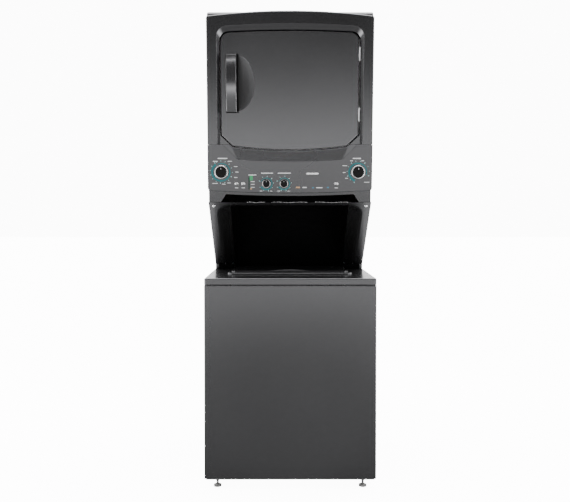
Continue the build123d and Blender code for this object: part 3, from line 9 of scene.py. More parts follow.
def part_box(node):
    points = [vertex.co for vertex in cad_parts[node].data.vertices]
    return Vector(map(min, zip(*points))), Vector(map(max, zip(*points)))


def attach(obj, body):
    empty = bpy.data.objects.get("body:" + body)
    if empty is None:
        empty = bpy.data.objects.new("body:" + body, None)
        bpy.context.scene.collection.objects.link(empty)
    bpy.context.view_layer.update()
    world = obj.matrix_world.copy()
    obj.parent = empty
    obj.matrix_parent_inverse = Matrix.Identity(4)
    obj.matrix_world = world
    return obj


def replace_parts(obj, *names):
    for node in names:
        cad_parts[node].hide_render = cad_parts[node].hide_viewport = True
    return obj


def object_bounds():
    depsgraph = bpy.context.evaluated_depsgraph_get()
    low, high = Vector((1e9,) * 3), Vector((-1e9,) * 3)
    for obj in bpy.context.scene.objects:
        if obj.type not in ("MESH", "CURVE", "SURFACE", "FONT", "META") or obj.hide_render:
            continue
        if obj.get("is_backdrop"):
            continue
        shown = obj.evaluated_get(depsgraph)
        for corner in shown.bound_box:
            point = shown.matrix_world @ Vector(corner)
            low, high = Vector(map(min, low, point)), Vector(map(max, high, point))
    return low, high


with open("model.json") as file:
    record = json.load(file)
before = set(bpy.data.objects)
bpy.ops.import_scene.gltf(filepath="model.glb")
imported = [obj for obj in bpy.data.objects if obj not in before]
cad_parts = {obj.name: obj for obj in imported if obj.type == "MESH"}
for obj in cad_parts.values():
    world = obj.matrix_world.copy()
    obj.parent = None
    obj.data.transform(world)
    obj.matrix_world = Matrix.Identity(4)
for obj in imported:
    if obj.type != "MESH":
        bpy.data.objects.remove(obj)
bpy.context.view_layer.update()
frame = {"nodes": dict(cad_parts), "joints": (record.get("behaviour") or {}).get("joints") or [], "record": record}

scene = bpy.context.scene
nodes = frame["nodes"]
joints = {joint["name"]: joint for joint in frame["joints"]}

# ---------------------------------------------------------------- camera
# A little left of the machine's middle, at chest height, and tipped down slightly.
CAMERA_X = -0.037
CAMERA_HEIGHT = 1.108
CAMERA_DISTANCE = 3.0  # in front of the washer
CAMERA_TIP = 1.4
washer_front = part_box("washer_front_panel")[0][1]
camera_data = bpy.data.cameras.new("camera")
camera = bpy.data.objects.new("camera", camera_data)
scene.collection.objects.link(camera)
camera.location = (CAMERA_X, washer_front - CAMERA_DISTANCE, CAMERA_HEIGHT)
camera.rotation_euler = (radians(90 - CAMERA_TIP), 0, 0)
camera_data.lens = 47.9
camera_data.sensor_width = 36
camera_data.shift_x = 0.007
camera_data.shift_y = -0.036
camera_data.clip_end = 60
scene.camera = camera

# ---------------------------------------------------------------- directions of the leaning front
UP = Vector(joints["door_hinge"]["axis"]).normalized()
OUT = Vector(joints["washer_cycle_turn"]["axis"]).normalized()
RIGHT = Vector((1, 0, 0))
PROUD = 0.006  # from a knob's joint position down to the fascia's face


def dial(name):
    """The middle of a knob, on the fascia's face."""
    return Vector(joints[name]["pos_m"]) - OUT * PROUD


def on_front(origin):
    """A matrix from a flat drawing (x right, y up the lean, z out of the face) to the leaning front."""
    m = Matrix((RIGHT, UP, OUT)).transposed().to_4x4()
    return Matrix.Translation(origin) @ m


def face_point(x, z):
    """The point of the fascia's face at a place across and a height."""
    base = dial("washer_cycle_turn")
    up = (z - base.z) / UP.z
    return base + RIGHT * (x - base.x) + UP * up


# ---------------------------------------------------------------- node material helpers
def new_material(name):
    material = bpy.data.materials.new(name)
    material.use_nodes = True
    tree = material.node_tree
    return material, tree, tree.nodes["Principled BSDF"]


def place(tree, scale=(1, 1, 1)):
    """Object coordinates, stretched by scale."""
    coordinates = tree.nodes.new("ShaderNodeTexCoord")
    mapping = tree.nodes.new("ShaderNodeMapping")
    mapping.inputs["Scale"].default_value = scale
    tree.links.new(coordinates.outputs["Object"], mapping.inputs["Vector"])
    return mapping.outputs["Vector"]


def noise(tree, vector, scale, detail=2.0, rough=0.5):
    node = tree.nodes.new("ShaderNodeTexNoise")
    node.inputs["Scale"].default_value = scale
    node.inputs["Detail"].default_value = detail
    node.inputs["Roughness"].default_value = rough
    tree.links.new(vector, node.inputs["Vector"])
    return node.outputs["Fac"]


def spread(tree, value, low, high, start=0.3, end=0.7):
    """value, taken from start..end, spread over low..high."""
    node = tree.nodes.new("ShaderNodeMapRange")
    node.inputs["From Min"].default_value = start
    node.inputs["From Max"].default_value = end
    node.inputs["To Min"].default_value = low
    node.inputs["To Max"].default_value = high
    tree.links.new(value, node.inputs["Value"])
    return node.outputs["Result"]


def tint(tree, factor, dark, light):
    """A colour between dark and light."""
    node = tree.nodes.new("ShaderNodeMix")
    node.data_type = "RGBA"
    node.inputs["A"].default_value = (*dark, 1)
    node.inputs["B"].default_value = (*light, 1)
    tree.links.new(factor, node.inputs["Factor"])
    return node.outputs["Result"]


def bump(tree, shader, height, strength, distance):
    node = tree.nodes.new("ShaderNodeBump")
    node.inputs["Strength"].default_value = strength
    node.inputs["Distance"].default_value = distance
    tree.links.new(height, node.inputs["Height"])
    tree.links.new(node.outputs["Normal"], shader.inputs["Normal"])


def calculate(tree, operation, first, second=None):
    """One step of arithmetic on node outputs or plain numbers."""
    node = tree.nodes.new("ShaderNodeMath")
    node.operation = operation
    for value, socket in ((first, node.inputs[0]), (second, node.inputs[1])):
        if isinstance(value, (int, float)):
            socket.default_value = value
        elif value is not None:
            tree.links.new(value, socket)
    return node.outputs["Value"]


def shade(colour, factor):
    return tuple(min(1.0, c * factor) for c in colour)


def enamel(name, colour, metallic=0.0, rough=0.35, flake=0.12, coat=0.3, coat_rough=0.12, peel=0.03):
    """Sprayed paint: metal flake, a slow drift of colour and gloss, and a little orange peel."""
    material, tree, shader = new_material(name)
    where = place(tree)
    fine = noise(tree, where, 1600, 1.0)
    drift = noise(tree, where, 2.2, 2.0)
    both = tree.nodes.new("ShaderNodeMath")
    both.operation = "MULTIPLY_ADD"
    tree.links.new(fine, both.inputs[0])
    both.inputs[1].default_value = 0.8
    tree.links.new(spread(tree, drift, -0.05, 0.25), both.inputs[2])
    colour_out = tint(tree, both.outputs["Value"], shade(colour, 1 - flake), shade(colour, 1 + flake))
    tree.links.new(colour_out, shader.inputs["Base Color"])
    tree.links.new(spread(tree, drift, rough - 0.02, rough + 0.03), shader.inputs["Roughness"])
    shader.inputs["Metallic"].default_value = metallic
    shader.inputs["Coat Weight"].default_value = coat
    shader.inputs["Coat Roughness"].default_value = coat_rough
    peel_height = noise(tree, where, 420, 2.0)
    bump(tree, shader, peel_height, peel, 0.0004)
    return material


def moulded(name, colour, rough=0.45, grain=0.12, grain_scale=1300, specular=0.5):
    """Moulded plastic: fine spark grain, slight drift of colour and gloss."""
    material, tree, shader = new_material(name)
    where = place(tree)
    drift = noise(tree, where, 5.0, 3.0)
    tree.links.new(tint(tree, drift, shade(colour, 0.94), shade(colour, 1.06)), shader.inputs["Base Color"])
    gloss = noise(tree, where, 60, 3.0)
    tree.links.new(spread(tree, gloss, rough - 0.05, rough + 0.06), shader.inputs["Roughness"])
    shader.inputs["Specular IOR Level"].default_value = specular
    bump(tree, shader, noise(tree, where, grain_scale, 2.0, 0.6), grain, 0.0003)
    return material


def brushed(name, colour, along, rough):
    """Brushed metal: streaks stretched across the brushing direction."""
    material, tree, shader = new_material(name)
    streak = noise(tree, place(tree, along), 14, 6.0, 0.65)
    drift = noise(tree, place(tree), 3.0, 2.0)
    tree.links.new(tint(tree, streak, shade(colour, 0.86), shade(colour, 1.1)), shader.inputs["Base Color"])
    streaked = spread(tree, streak, rough - 0.12, rough + 0.12)
    drifted = calculate(tree, "ADD", streaked, spread(tree, drift, -0.03, 0.05))
    tree.links.new(drifted, shader.inputs["Roughness"])
    shader.inputs["Metallic"].default_value = 1.0
    bump(tree, shader, streak, 0.06, 0.0003)
    return material


def galvanised(name, colour, rough=0.42):
    """Zinc-coated sheet: large crystals of slightly different tone and gloss."""
    material, tree, shader = new_material(name)
    where = place(tree)
    crystal = tree.nodes.new("ShaderNodeTexVoronoi")
    crystal.inputs["Scale"].default_value = 90
    tree.links.new(where, crystal.inputs["Vector"])
    tone = tree.nodes.new("ShaderNodeSeparateColor")
    tree.links.new(crystal.outputs["Color"], tone.inputs["Color"])
    shades = tint(tree, tone.outputs["Red"], shade(colour, 0.88), shade(colour, 1.08))
    gloss = spread(tree, tone.outputs["Green"], rough - 0.07, rough + 0.1, 0, 1)
    tree.links.new(shades, shader.inputs["Base Color"])
    tree.links.new(gloss, shader.inputs["Roughness"])
    shader.inputs["Metallic"].default_value = 0.95
    bump(tree, shader, noise(tree, where, 35, 3.0), 0.04, 0.001)
    return material


def polished(name, colour, rough=0.1):
    """Chrome plate with faint wipe marks."""
    material, tree, shader = new_material(name)
    where = place(tree)
    marks = noise(tree, place(tree, (1, 1, 6)), 90, 4.0, 0.6)
    tree.links.new(tint(tree, marks, shade(colour, 0.94), shade(colour, 1.03)), shader.inputs["Base Color"])
    tree.links.new(spread(tree, marks, rough * 0.7, rough * 1.6), shader.inputs["Roughness"])
    shader.inputs["Metallic"].default_value = 1.0
    bump(tree, shader, noise(tree, where, 900, 1.0), 0.01, 0.0002)
    return material


def soft_rubber(name, colour, rough=0.72):
    material, tree, shader = new_material(name)
    where = place(tree)
    dust = noise(tree, where, 45, 5.0, 0.65)
    tree.links.new(tint(tree, dust, shade(colour, 0.75), shade(colour, 1.4)), shader.inputs["Base Color"])
    tree.links.new(spread(tree, dust, rough - 0.1, rough + 0.12), shader.inputs["Roughness"])
    bump(tree, shader, noise(tree, where, 700, 3.0), 0.25, 0.0004)
    return material


def printed(name, colour, rough=0.5, glow=0.0):
    """Screen-printed ink: slightly uneven coverage, and a faint glow when glow is given; on the printed marks that
    glow is painted light.
    """
    material, tree, shader = new_material(name)
    where = place(tree)
    cover = noise(tree, where, 800, 3.0)
    tree.links.new(tint(tree, cover, shade(colour, 0.82), shade(colour, 1.12)), shader.inputs["Base Color"])
    tree.links.new(spread(tree, cover, rough - 0.08, rough + 0.08), shader.inputs["Roughness"])
    if glow:
        tree.links.new(tint(tree, cover, shade(colour, 0.9), colour), shader.inputs["Emission Color"])
        shader.inputs["Emission Strength"].default_value = glow
    bump(tree, shader, cover, 0.05, 0.0001)
    return material


def window_glass(name, colour):
    """Tinted tempered glass with a very slight roller wave."""
    material, tree, shader = new_material(name)
    where = place(tree)
    wave = noise(tree, where, 9, 1.0)
    tree.links.new(tint(tree, wave, shade(colour, 0.9), shade(colour, 1.1)), shader.inputs["Base Color"])
    tree.links.new(spread(tree, noise(tree, where, 120, 4.0), 0.03, 0.07), shader.inputs["Roughness"])
    shader.inputs["Transmission Weight"].default_value = 0.75
    shader.inputs["IOR"].default_value = 1.5
    bump(tree, shader, wave, 0.03, 0.002)
    return material


# ---------------------------------------------------------------- brightness of the studio
WHITE = 12.0  # what the camera sees behind and under the machine
WORLD_FRONT = 0.07  # the world's strength in front of the machine, and what is added in other directions
WORLD_BEHIND = 2.0
WORLD_SIDE = 0.8
WORLD_UP = 2.3
FLOOR_RANGE = 20.0  # metres from the machine over which the floor's strength changes
FLOOR_START = 0.2
FLOOR_END = 0.5
FLOOR_SWEEP = (  # (share of the range, strength)
    (0.022, 0.2), (0.03, 0.18), (0.15, 0.22), (0.25, 0.4), (0.4, 1.7), (0.5, 2.5), (0.7, 1.6),
)
FLOOR_SIDE = 5.5  # strength of the patches well out to each side
FLOOR_BESIDE = 1.6  # strength of the patches close beside the machine

# ---------------------------------------------------------------- materials by slot
GRAPHITE = (0.115, 0.115, 0.119)
materials = {
    "graphite": enamel("graphite", GRAPHITE, metallic=0.9, rough=0.22, flake=0.12, coat=0.2, coat_rough=0.12),
    "graphite_moulded": enamel(
        "graphite_moulded", shade(GRAPHITE, 0.8), metallic=0.9, rough=0.2, flake=0.12, coat=0.25, coat_rough=0.08
    ),
    "handle_paint": enamel(
        "handle_paint", shade(GRAPHITE, 1.3), metallic=0.9, rough=0.16, flake=0.08, coat=0.5, coat_rough=0.05
    ),
    "fascia_paint": enamel(
        "fascia_paint", GRAPHITE, metallic=0.9, rough=0.28, flake=0.12, coat=0.15, coat_rough=0.2
    ),
    # black_plastic is nearly black and hardly shiny, darker than the plastic is: its own black plus painted shade
    # inside the pocket
    "black_plastic": moulded("black_plastic", (0.0012, 0.0012, 0.0013), rough=0.6, specular=0.06),
    "galvanised": galvanised("galvanised", (0.56, 0.57, 0.58)),
    "front_enamel": enamel("front_enamel", (0.72, 0.73, 0.74), rough=0.3, flake=0.02, coat=0.3),
    "foot_plastic": moulded("foot_plastic", (0.55, 0.55, 0.54), rough=0.5),
    "glass": window_glass("glass", (0.06, 0.065, 0.07)),
    "tub_plastic": moulded("tub_plastic", (0.62, 0.64, 0.66), rough=0.45, grain_scale=500),
    "stainless": brushed("stainless", (0.62, 0.63, 0.64), along=(1, 60, 1), rough=0.26),
    "agitator_plastic": moulded("agitator_plastic", (0.5, 0.54, 0.58), rough=0.3),
    "steel": brushed("steel", (0.74, 0.74, 0.75), along=(1, 1, 8), rough=0.42),
    "cast": moulded("cast", (0.42, 0.43, 0.44), rough=0.5, grain=0.4, grain_scale=260),
    "motor_paint": enamel("motor_paint", (0.03, 0.03, 0.032), rough=0.42, flake=0.1, coat=0.1),
    "pulley_metal": brushed("pulley_metal", (0.6, 0.6, 0.61), along=(1, 1, 30), rough=0.28),
    "belt_rubber": soft_rubber("belt_rubber", (0.014, 0.014, 0.014)),
    "seal_rubber": soft_rubber("seal_rubber", (0.08, 0.08, 0.08), rough=0.85),
    "white_plastic": moulded("white_plastic", (0.7, 0.7, 0.69), rough=0.38),
    "pump_plastic": moulded("pump_plastic", (0.13, 0.13, 0.135), rough=0.5),
    "screw_metal": polished("screw_metal", (0.8, 0.8, 0.8), rough=0.22),
    "knob_black": moulded("knob_black", (0.006, 0.0055, 0.006), rough=0.42, specular=0.14),
    "button_metal": polished("button_metal", (0.85, 0.85, 0.86), rough=0.16),
    "status_green": printed("status_green", (0.006, 0.03, 0.02), rough=0.25, glow=0.02),
}
materials["cast"].node_tree.nodes["Principled BSDF"].inputs["Metallic"].default_value = 0.8
chrome = polished("chrome", (0.9, 0.9, 0.91), rough=0.2)
# The glow given to the inks below is painted light that brightens the print.
white_ink = printed("white_ink", (0.7, 0.71, 0.72), glow=0.12)
teal_ink = printed("teal_ink", (0.012, 0.14, 0.155), glow=0.1)
mint_ink = printed("mint_ink", (0.4, 0.72, 0.7), glow=0.2)
amber_ink = printed("amber_ink", (0.5, 0.3, 0.16), glow=0.1)
blue_ink = printed("blue_ink", (0.05, 0.2, 0.3), glow=0.15)
green_ink = printed("green_ink", (0.03, 0.26, 0.1), glow=0.25)

for entry in frame["record"]["subparts"]:
    piece = nodes[entry["node"]]
    for material_slot in piece.material_slots:
        material_slot.material = materials[entry["material_slot"]]


# ---------------------------------------------------------------- mesh helpers
def finish_mesh(name, mesh_data, material, body):
    """Turns a bmesh into a piece that rides on a body and takes a slot's finish."""
    bmesh.ops.recalc_face_normals(mesh_data, faces=mesh_data.faces)
    mesh = bpy.data.meshes.new(name)
    mesh_data.to_mesh(mesh)
    mesh_data.free()
    mesh.shade_smooth()
    mesh.set_sharp_from_angle(angle=radians(35))
    mesh.materials.append(material)
    piece = bpy.data.objects.new(name, mesh)
    scene.collection.objects.link(piece)
    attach(piece, body)
    return piece


def add_lathe(mesh_data, profile, matrix, steps=72):
    """Turns (radius, height) points about the drawing's z axis."""
    rings = []
    for radius, height in profile:
        if radius == 0:
            rings.append([mesh_data.verts.new(matrix @ Vector((0, 0, height)))])
            continue
        turns = [2 * pi * k / steps for k in range(steps)]
        points = [Vector((radius * cos(turn), radius * sin(turn), height)) for turn in turns]
        rings.append([mesh_data.verts.new(matrix @ point) for point in points])
    for lower, upper in zip(rings, rings[1:]):
        for k in range(steps):
            after = (k + 1) % steps
            if len(lower) == 1:
                mesh_data.faces.new((lower[0], upper[k], upper[after]))
            elif len(upper) == 1:
                mesh_data.faces.new((lower[k], upper[0], lower[after]))
            else:
                mesh_data.faces.new((lower[k], upper[k], upper[after], lower[after]))


def add_prism(mesh_data, outline, low, high, matrix, crown=0.0):
    """A flat shape between two heights, with its top edge drawn in by crown."""
    middle = sum((Vector(p) for p in outline), Vector((0, 0))) / len(outline)
    foot = [mesh_data.verts.new(matrix @ Vector((x, y, low))) for x, y in outline]
    brow = [mesh_data.verts.new(matrix @ Vector((x, y, high - crown))) for x, y in outline]
    drawn = [Vector(p) + (middle - Vector(p)).normalized() * crown for p in outline]
    top = [mesh_data.verts.new(matrix @ Vector((p.x, p.y, high))) for p in drawn]
    count = len(outline)
    for k in range(count):
        after = (k + 1) % count
        mesh_data.faces.new((foot[k], foot[after], brow[after], brow[k]))
        if crown:
            mesh_data.faces.new((brow[k], brow[after], top[after], top[k]))
    mesh_data.faces.new(top if crown else brow)
    mesh_data.faces.new(list(reversed(foot)))


def rounded(width, height, radius, centre=(0, 0), turn=0.0, steps=5):
    """A rounded rectangle's outline."""
    points = []
    for corner, (sx, sy) in enumerate(((1, 1), (-1, 1), (-1, -1), (1, -1))):
        for k in range(steps + 1):
            angle = pi / 2 * (corner + k / steps)
            x = sx * (width / 2 - radius) + radius * cos(angle)
            y = sy * (height / 2 - radius) + radius * sin(angle)
            points.append((
                centre[0] + x * cos(turn) - y * sin(turn),
                centre[1] + x * sin(turn) + y * cos(turn),
            ))
    return points


INK = 0.00025  # thickness of the printed marks

# ---------------------------------------------------------------- knobs
big_radius = (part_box("washer_cycle_knob")[1][0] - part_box("washer_cycle_knob")[0][0]) / 2
small_radius = (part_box("temperature_knob")[1][0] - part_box("temperature_knob")[0][0]) / 2


def dress_knob(node, joint, radius):
    """A chromed skirt, a dark cap with a dished face and grip flutes, and a pointer line."""
    m = on_front(dial(joint))
    skirt = bmesh.new()
    inner = radius * 0.78
    add_lathe(skirt, (
        (inner, 0.0052), (radius * 0.84, 0.0066), (radius * 0.93, 0.0064),
        (radius * 0.99, 0.0046), (radius, 0.0026), (radius * 0.985, 0.0006),
    ), m)
    finish_mesh(node + "_skirt", skirt, chrome, node)
    cap = bmesh.new()
    height = radius * 0.55 + 0.0055
    add_lathe(cap, (
        (inner * 1.02, 0.005), (inner, 0.0075), (inner * 0.965, height - 0.0012),
        (inner * 0.92, height - 0.0001), (inner * 0.87, height), (inner * 0.8, height - 0.0006),
        (inner * 0.5, height - 0.0011), (0, height - 0.0012),
    ), m)
    finish_mesh(node + "_cap", cap, materials["knob_black"], node)
    flutes = bmesh.new()
    count = 28
    for k in range(count):
        turn = 2 * pi * k / count
        x, y = inner * 0.985 * cos(turn), inner * 0.985 * sin(turn)
        add_prism(flutes, rounded(0.0016, 0.0012, 0.0005, (x, y), turn, 2), 0.0062, height - 0.002, m, 0.0003)
    finish_mesh(node + "_flutes", flutes, materials["knob_black"], node)
    pointer = bmesh.new()
    line = rounded(0.0016, inner * 0.3, 0.0007, (0, inner * 0.66))
    add_prism(pointer, line, height - 0.0012, height + 0.0001, m, 0.0001)
    finish_mesh(node + "_pointer", pointer, white_ink, node)


dress_knob("washer_cycle_knob", "washer_cycle_turn", big_radius)
dress_knob("dryer_cycle_knob", "dryer_cycle_turn", big_radius)
dress_knob("temperature_knob", "temperature_turn", small_radius)
dress_knob("load_size_knob", "load_size_turn", small_radius)


def dial_marks(name, joint, inner, outer, first, last, count):
    """A teal wedge scale that widens round the knob, with mint ticks on its outside."""
    m = on_front(dial(joint))
    band = bmesh.new()
    steps = 60
    for k in range(steps):
        corners = []
        for step in (k, k + 1):
            turn = radians(first + (last - first) * step / steps)
            width = (outer - inner) * (0.3 + 0.5 * step / steps)
            corners.append(((inner + width) * cos(turn), (inner + width) * sin(turn)))
            corners.append((inner * cos(turn), inner * sin(turn)))
        add_prism(band, [corners[1], corners[0], corners[2], corners[3]], 0, INK, m)
    finish_mesh(name + "_band", band, teal_ink, "machine")
    ticks = bmesh.new()
    for k in range(count):
        turn = radians(first + (last - first) * k / (count - 1))
        reach = outer + 0.0005
        long = 0.0048 if k % 3 == 0 else 0.0032
        mark = rounded(long, 0.0022, 0.0009, (reach * cos(turn), reach * sin(turn)), turn, 2)
        add_prism(ticks, mark, 0, INK * 1.2, m)
    finish_mesh(name + "_ticks", ticks, mint_ink, "machine")


dial_marks("washer_dial", "washer_cycle_turn", 0.033, 0.0455, 115, -235, 16)
dial_marks("dryer_dial", "dryer_cycle_turn", 0.033, 0.0455, -20, 250, 12)
dial_marks("temperature_dial", "temperature_turn", 0.0215, 0.030, 160, -150, 9)
dial_marks("load_dial", "load_size_turn", 0.0215, 0.030, 160, -150, 9)


def dashes(name, entries, material, body="machine", corner=0.45):
    """Short printed bars on the fascia: each (x, z, length, height)."""
    marks = bmesh.new()
    for x, z, length, height in entries:
        m = on_front(face_point(x, z))
        add_prism(marks, rounded(length, height, height * corner, steps=3), 0, INK, m)
    return finish_mesh(name, marks, material, body)


BUTTONS = ("rinse_button", "soak_button", "start_button")
wash = dial("washer_cycle_turn")
dry = dial("dryer_cycle_turn")
cool = dial("temperature_turn")
load = dial("load_size_turn")
status_low, status_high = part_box("status_window")
status_x = (status_low[0] + status_high[0]) / 2


def around(centre, reach, angles, length, height):
    """Bars set round a dial at the given angles, on a slightly wide oval."""
    spots = [(reach * 1.08 * cos(radians(angle)), reach * sin(radians(angle))) for angle in angles]
    return [(centre.x + x, centre.z + z, length, height) for x, z in spots]


def beside(centre, height, entries):
    """Bars of one height, each given by its place beside a dial and its length."""
    return [(centre.x + x, centre.z + z, length, height) for x, z, length in entries]


SMALL_BAR = 0.0028
FINE_BAR = 0.0026
THIN_BAR = 0.0022
legend = beside(wash, 0.0042, [(0.006, 0.056, 0.040)])
legend += beside(dry, 0.0042, [(-0.006, 0.056, 0.034)])
legend += beside(cool, 0.0036, [(0.003, 0.043, 0.050)])
legend += beside(load, 0.0036, [(0.001, 0.043, 0.054)])
legend.append((status_x + 0.014, status_high[2] + 0.006, 0.034, 0.0034))
legend += around(wash, 0.060, (22, 0, -22), 0.014, SMALL_BAR)
legend += beside(wash, SMALL_BAR, [(-0.024, 0.044, 0.020), (0.036, 0.044, 0.018)])
legend += beside(wash, FINE_BAR, [(-0.026, -0.047, 0.022), (0.010, -0.050, 0.014), (0.032, -0.045, 0.014)])
legend += beside(dry, FINE_BAR, [(-0.056, 0.026, 0.020), (-0.058, -0.002, 0.012), (-0.048, -0.026, 0.012)])
legend += beside(dry, FINE_BAR, [(-0.028, 0.046, 0.012), (0.018, 0.046, 0.012), (0.036, -0.042, 0.022)])
for centre in (cool, load):
    legend += beside(centre, THIN_BAR, [(-0.022, -0.031, 0.010), (0.020, -0.031, 0.010)])
for button in BUTTONS:
    low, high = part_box(button)
    legend.append(((low[0] + high[0]) / 2, low[2] - 0.010, 0.014, FINE_BAR))
for level in (0.2, 0.42, 0.62):
    level_z = status_low[2] + (status_high[2] - status_low[2]) * level
    legend.append((status_x + 0.0155, level_z, 0.016, 0.0024))
dashes("legend_dashes", legend, white_ink)
icon_z = cool.z - 0.016
dashes("icon_amber", [(0.033, icon_z, 0.017, 0.0062)], amber_ink)
dashes("icon_white", [(0.061, icon_z, 0.018, 0.0040), (0.122, icon_z - 0.001, 0.026, 0.0036)], white_ink)
dashes("icon_blue", [(0.096, icon_z - 0.001, 0.006, 0.0050), (0.158, icon_z, 0.008, 0.0056)], blue_ink)
dashes("status_block", [(status_x + 0.0095, status_high[2] - 0.006, 0.013, 0.020)], green_ink, corner=0.1)
dashes("status_amber", [(status_x + 0.008, status_low[2] + 0.005, 0.007, 0.005)], amber_ink)

# Plain badge: a small raised bar with a bright face
badge = bmesh.new()
badge_place = on_front(face_point(0.0935, 1.267))
add_prism(badge, rounded(0.052, 0.007, 0.0034, steps=8), 0, 0.0014, badge_place, 0.0006)
finish_mesh("badge_bar", badge, chrome, "machine")

# Buttons: a bright domed cap on each
for button in BUTTONS:
    button_low, button_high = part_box(button)
    middle = face_point((button_low[0] + button_high[0]) / 2, (button_low[2] + button_high[2]) / 2)
    dome = bmesh.new()
    stretch = Matrix.Diagonal((1.25, 0.9, 1, 1))
    crown = [(0.0058 * cos(k * pi / 16), 0.0022 + 0.0016 * sin(k * pi / 16)) for k in range(8)]
    add_lathe(dome, (*crown, (0, 0.0038)), on_front(middle + OUT * 0.0003) @ stretch, 40)
    finish_mesh(button + "_dome", dome, chrome, button)

# ---------------------------------------------------------------- door: black reveal, handle shadow strips and dish liner, all painted shade
FRONT_AT = Vector((0, -0.252, 1.386))
DOOR_INSET = 0.013
HANDLE_MID = Vector((-0.241, 0.250))
HANDLE_WIDTH = 0.043
HANDLE_HALF = 0.117
HANDLE_RISE = 0.022
HANDLE_END = 0.006


def on_door(x, up, out):
    """The point of the door at a place across, up the lean and out of its face."""
    return FRONT_AT + RIGHT * x + UP * up + OUT * (out - DOOR_INSET)


# Painted shade: a matt black lining on the walls of the well round the door, laid over the frame's own wall faces
# so the gap reads dark
LAYER = 0.0003  # how far a lining stands off the CAD's face
WELL_BACK = -0.060  # the lining's depth range, out of the frame's face
WELL_FRONT = -0.012
WELL_SIDE = 0.007  # how far the well's walls lie outside the door
WELL_END = 0.012
frame_node = bpy.data.objects["dryer_front_frame"]
frame_turn = frame_node.matrix_world.to_3x3()
door_low, door_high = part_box("door_outer_panel")
reveal_shade = bmesh.new()
door_middle = on_door(0, (door_high[2] + door_low[2]) / 2 - FRONT_AT.z, 0)
for face in frame_node.data.polygons:
    middle = frame_node.matrix_world @ face.center
    normal = (frame_turn @ face.normal).normalized()
    in_height = door_low[2] - WELL_END < middle.z < door_high[2] + WELL_END
    near_door = in_height and abs(middle.x) < door_high[0] + WELL_SIDE
    in_depth = WELL_BACK < (middle - FRONT_AT).dot(OUT) < WELL_FRONT
    is_wall = abs(normal.dot(OUT)) < 0.25 and normal.dot(door_middle - middle) > 0.05
    if near_door and in_depth and is_wall:
        spots = [frame_node.matrix_world @ frame_node.data.vertices[v].co for v in face.vertices]
        reveal_shade.faces.new([reveal_shade.verts.new(spot + normal * LAYER) for spot in spots])
finish_mesh("door_reveal_painted_shade", reveal_shade, materials["black_plastic"], "machine")

# Painted shadow: a black lip along the handle's right edge that follows its bow, standing for the shade beside the
# handle
BOW = (HANDLE_HALF ** 2 + (HANDLE_RISE - HANDLE_END) ** 2) / (2 * (HANDLE_RISE - HANDLE_END))
handle_shadow = bmesh.new()
handle_shadow_x = HANDLE_MID.x + HANDLE_WIDTH / 2
rings = []
for k in range(33):
    along = (HANDLE_HALF - 0.001) * (2 * k / 32 - 1)
    top = HANDLE_RISE - BOW + sqrt(BOW ** 2 - along ** 2)
    foot = max(top - 0.0065, 0.0006)
    section = [
        (-0.001, top - 0.0025), (0.0075, top - 0.0035), (0.0085, top - 0.0045), (0.0085, foot), (-0.001, foot),
    ]
    rings.append([handle_shadow.verts.new(on_door(handle_shadow_x + x, HANDLE_MID.y + along, out)) for x, out in section])
for lower, upper in zip(rings, rings[1:]):
    for q in range(len(lower)):
        after = (q + 1) % len(lower)
        handle_shadow.faces.new((lower[q], lower[after], upper[after], upper[q]))
handle_shadow.faces.new(rings[0])
handle_shadow.faces.new(rings[-1])
finish_mesh("handle_painted_shadow", handle_shadow, materials["black_plastic"], "dryer_door")

# Painted shadow: black edges left of the handle, under it and over it
handle_edge_shadow = bmesh.new()
for x, up, width, height in (
    (HANDLE_MID.x - HANDLE_WIDTH / 2 - 0.0006, HANDLE_MID.y - 0.001, 0.0012, 0.239),
    (HANDLE_MID.x + 0.004, HANDLE_MID.y - HANDLE_HALF - 0.0018, 0.052, 0.0036),
    (HANDLE_MID.x + 0.004, HANDLE_MID.y + HANDLE_HALF + 0.0006, 0.052, 0.0012),
):
    add_prism(handle_edge_shadow, rounded(width, height, 0.0004, steps=2), 0, 0.002, on_front(on_door(x, up, 0)))
finish_mesh("handle_surround_painted_shadow", handle_edge_shadow, materials["black_plastic"], "dryer_door")

# Painted shade: a darker, rougher liner in the dish behind the handle, a patch of the dish's own upright spindle
DISH_X = -0.222
DISH_RADIUS = 0.1997
DISH_REACH = 0.2997
DISH_OUT = 0.185
DISH_LEFT = -0.2577
dish_end = DISH_REACH * sqrt(1 - (DISH_OUT / DISH_RADIUS) ** 2)
dish_shade = bmesh.new()
rows = []
for k in range(41):
    along = dish_end * 0.999 * sin(pi * (k / 40 - 0.5))
    radius = DISH_RADIUS * sqrt(1 - (along / DISH_REACH) ** 2)
    half = sqrt(max(radius ** 2 - DISH_OUT ** 2, 0))
    left = max(DISH_LEFT, DISH_X - half)
    row = []
    for j in range(25):
        x = left + (DISH_X + half - left) * j / 24
        out = DISH_OUT - sqrt(radius ** 2 - (x - DISH_X) ** 2)
        row.append(dish_shade.verts.new(on_door(x, HANDLE_MID.y + along, out)))
    rows.append(row)
for lower, upper in zip(rows, rows[1:]):
    for j in range(24):
        dish_shade.faces.new((lower[j], lower[j + 1], upper[j + 1], upper[j]))
# The door's paint at 0.55 of its brightness and rougher: painted shade in the dish
dish_shade_paint = enamel(
    "graphite_painted_shade", shade(GRAPHITE, 0.55), metallic=0.85, rough=0.5, flake=0.1, coat=0.1, coat_rough=0.3
)
finish_mesh("dish_liner_painted_shade", dish_shade, dish_shade_paint, "dryer_door")

# ---------------------------------------------------------------- access panel: screw heads and rolled lip, whose bright metal is a painted highlight
panel_low, panel_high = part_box("access_panel")
screws_low, screws_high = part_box("panel_screws")
SLOPE = radians(39.1)
slope_up = Vector((0, -cos(SLOPE), sin(SLOPE)))
slope_out = Vector((0, -sin(SLOPE), -cos(SLOPE)))


def on_slope(origin):
    """A matrix from a flat drawing (x right, y up the slope, z out of it) to the access panel's face."""
    return Matrix.Translation(origin) @ Matrix((RIGHT, slope_up, slope_out)).transposed().to_4x4()


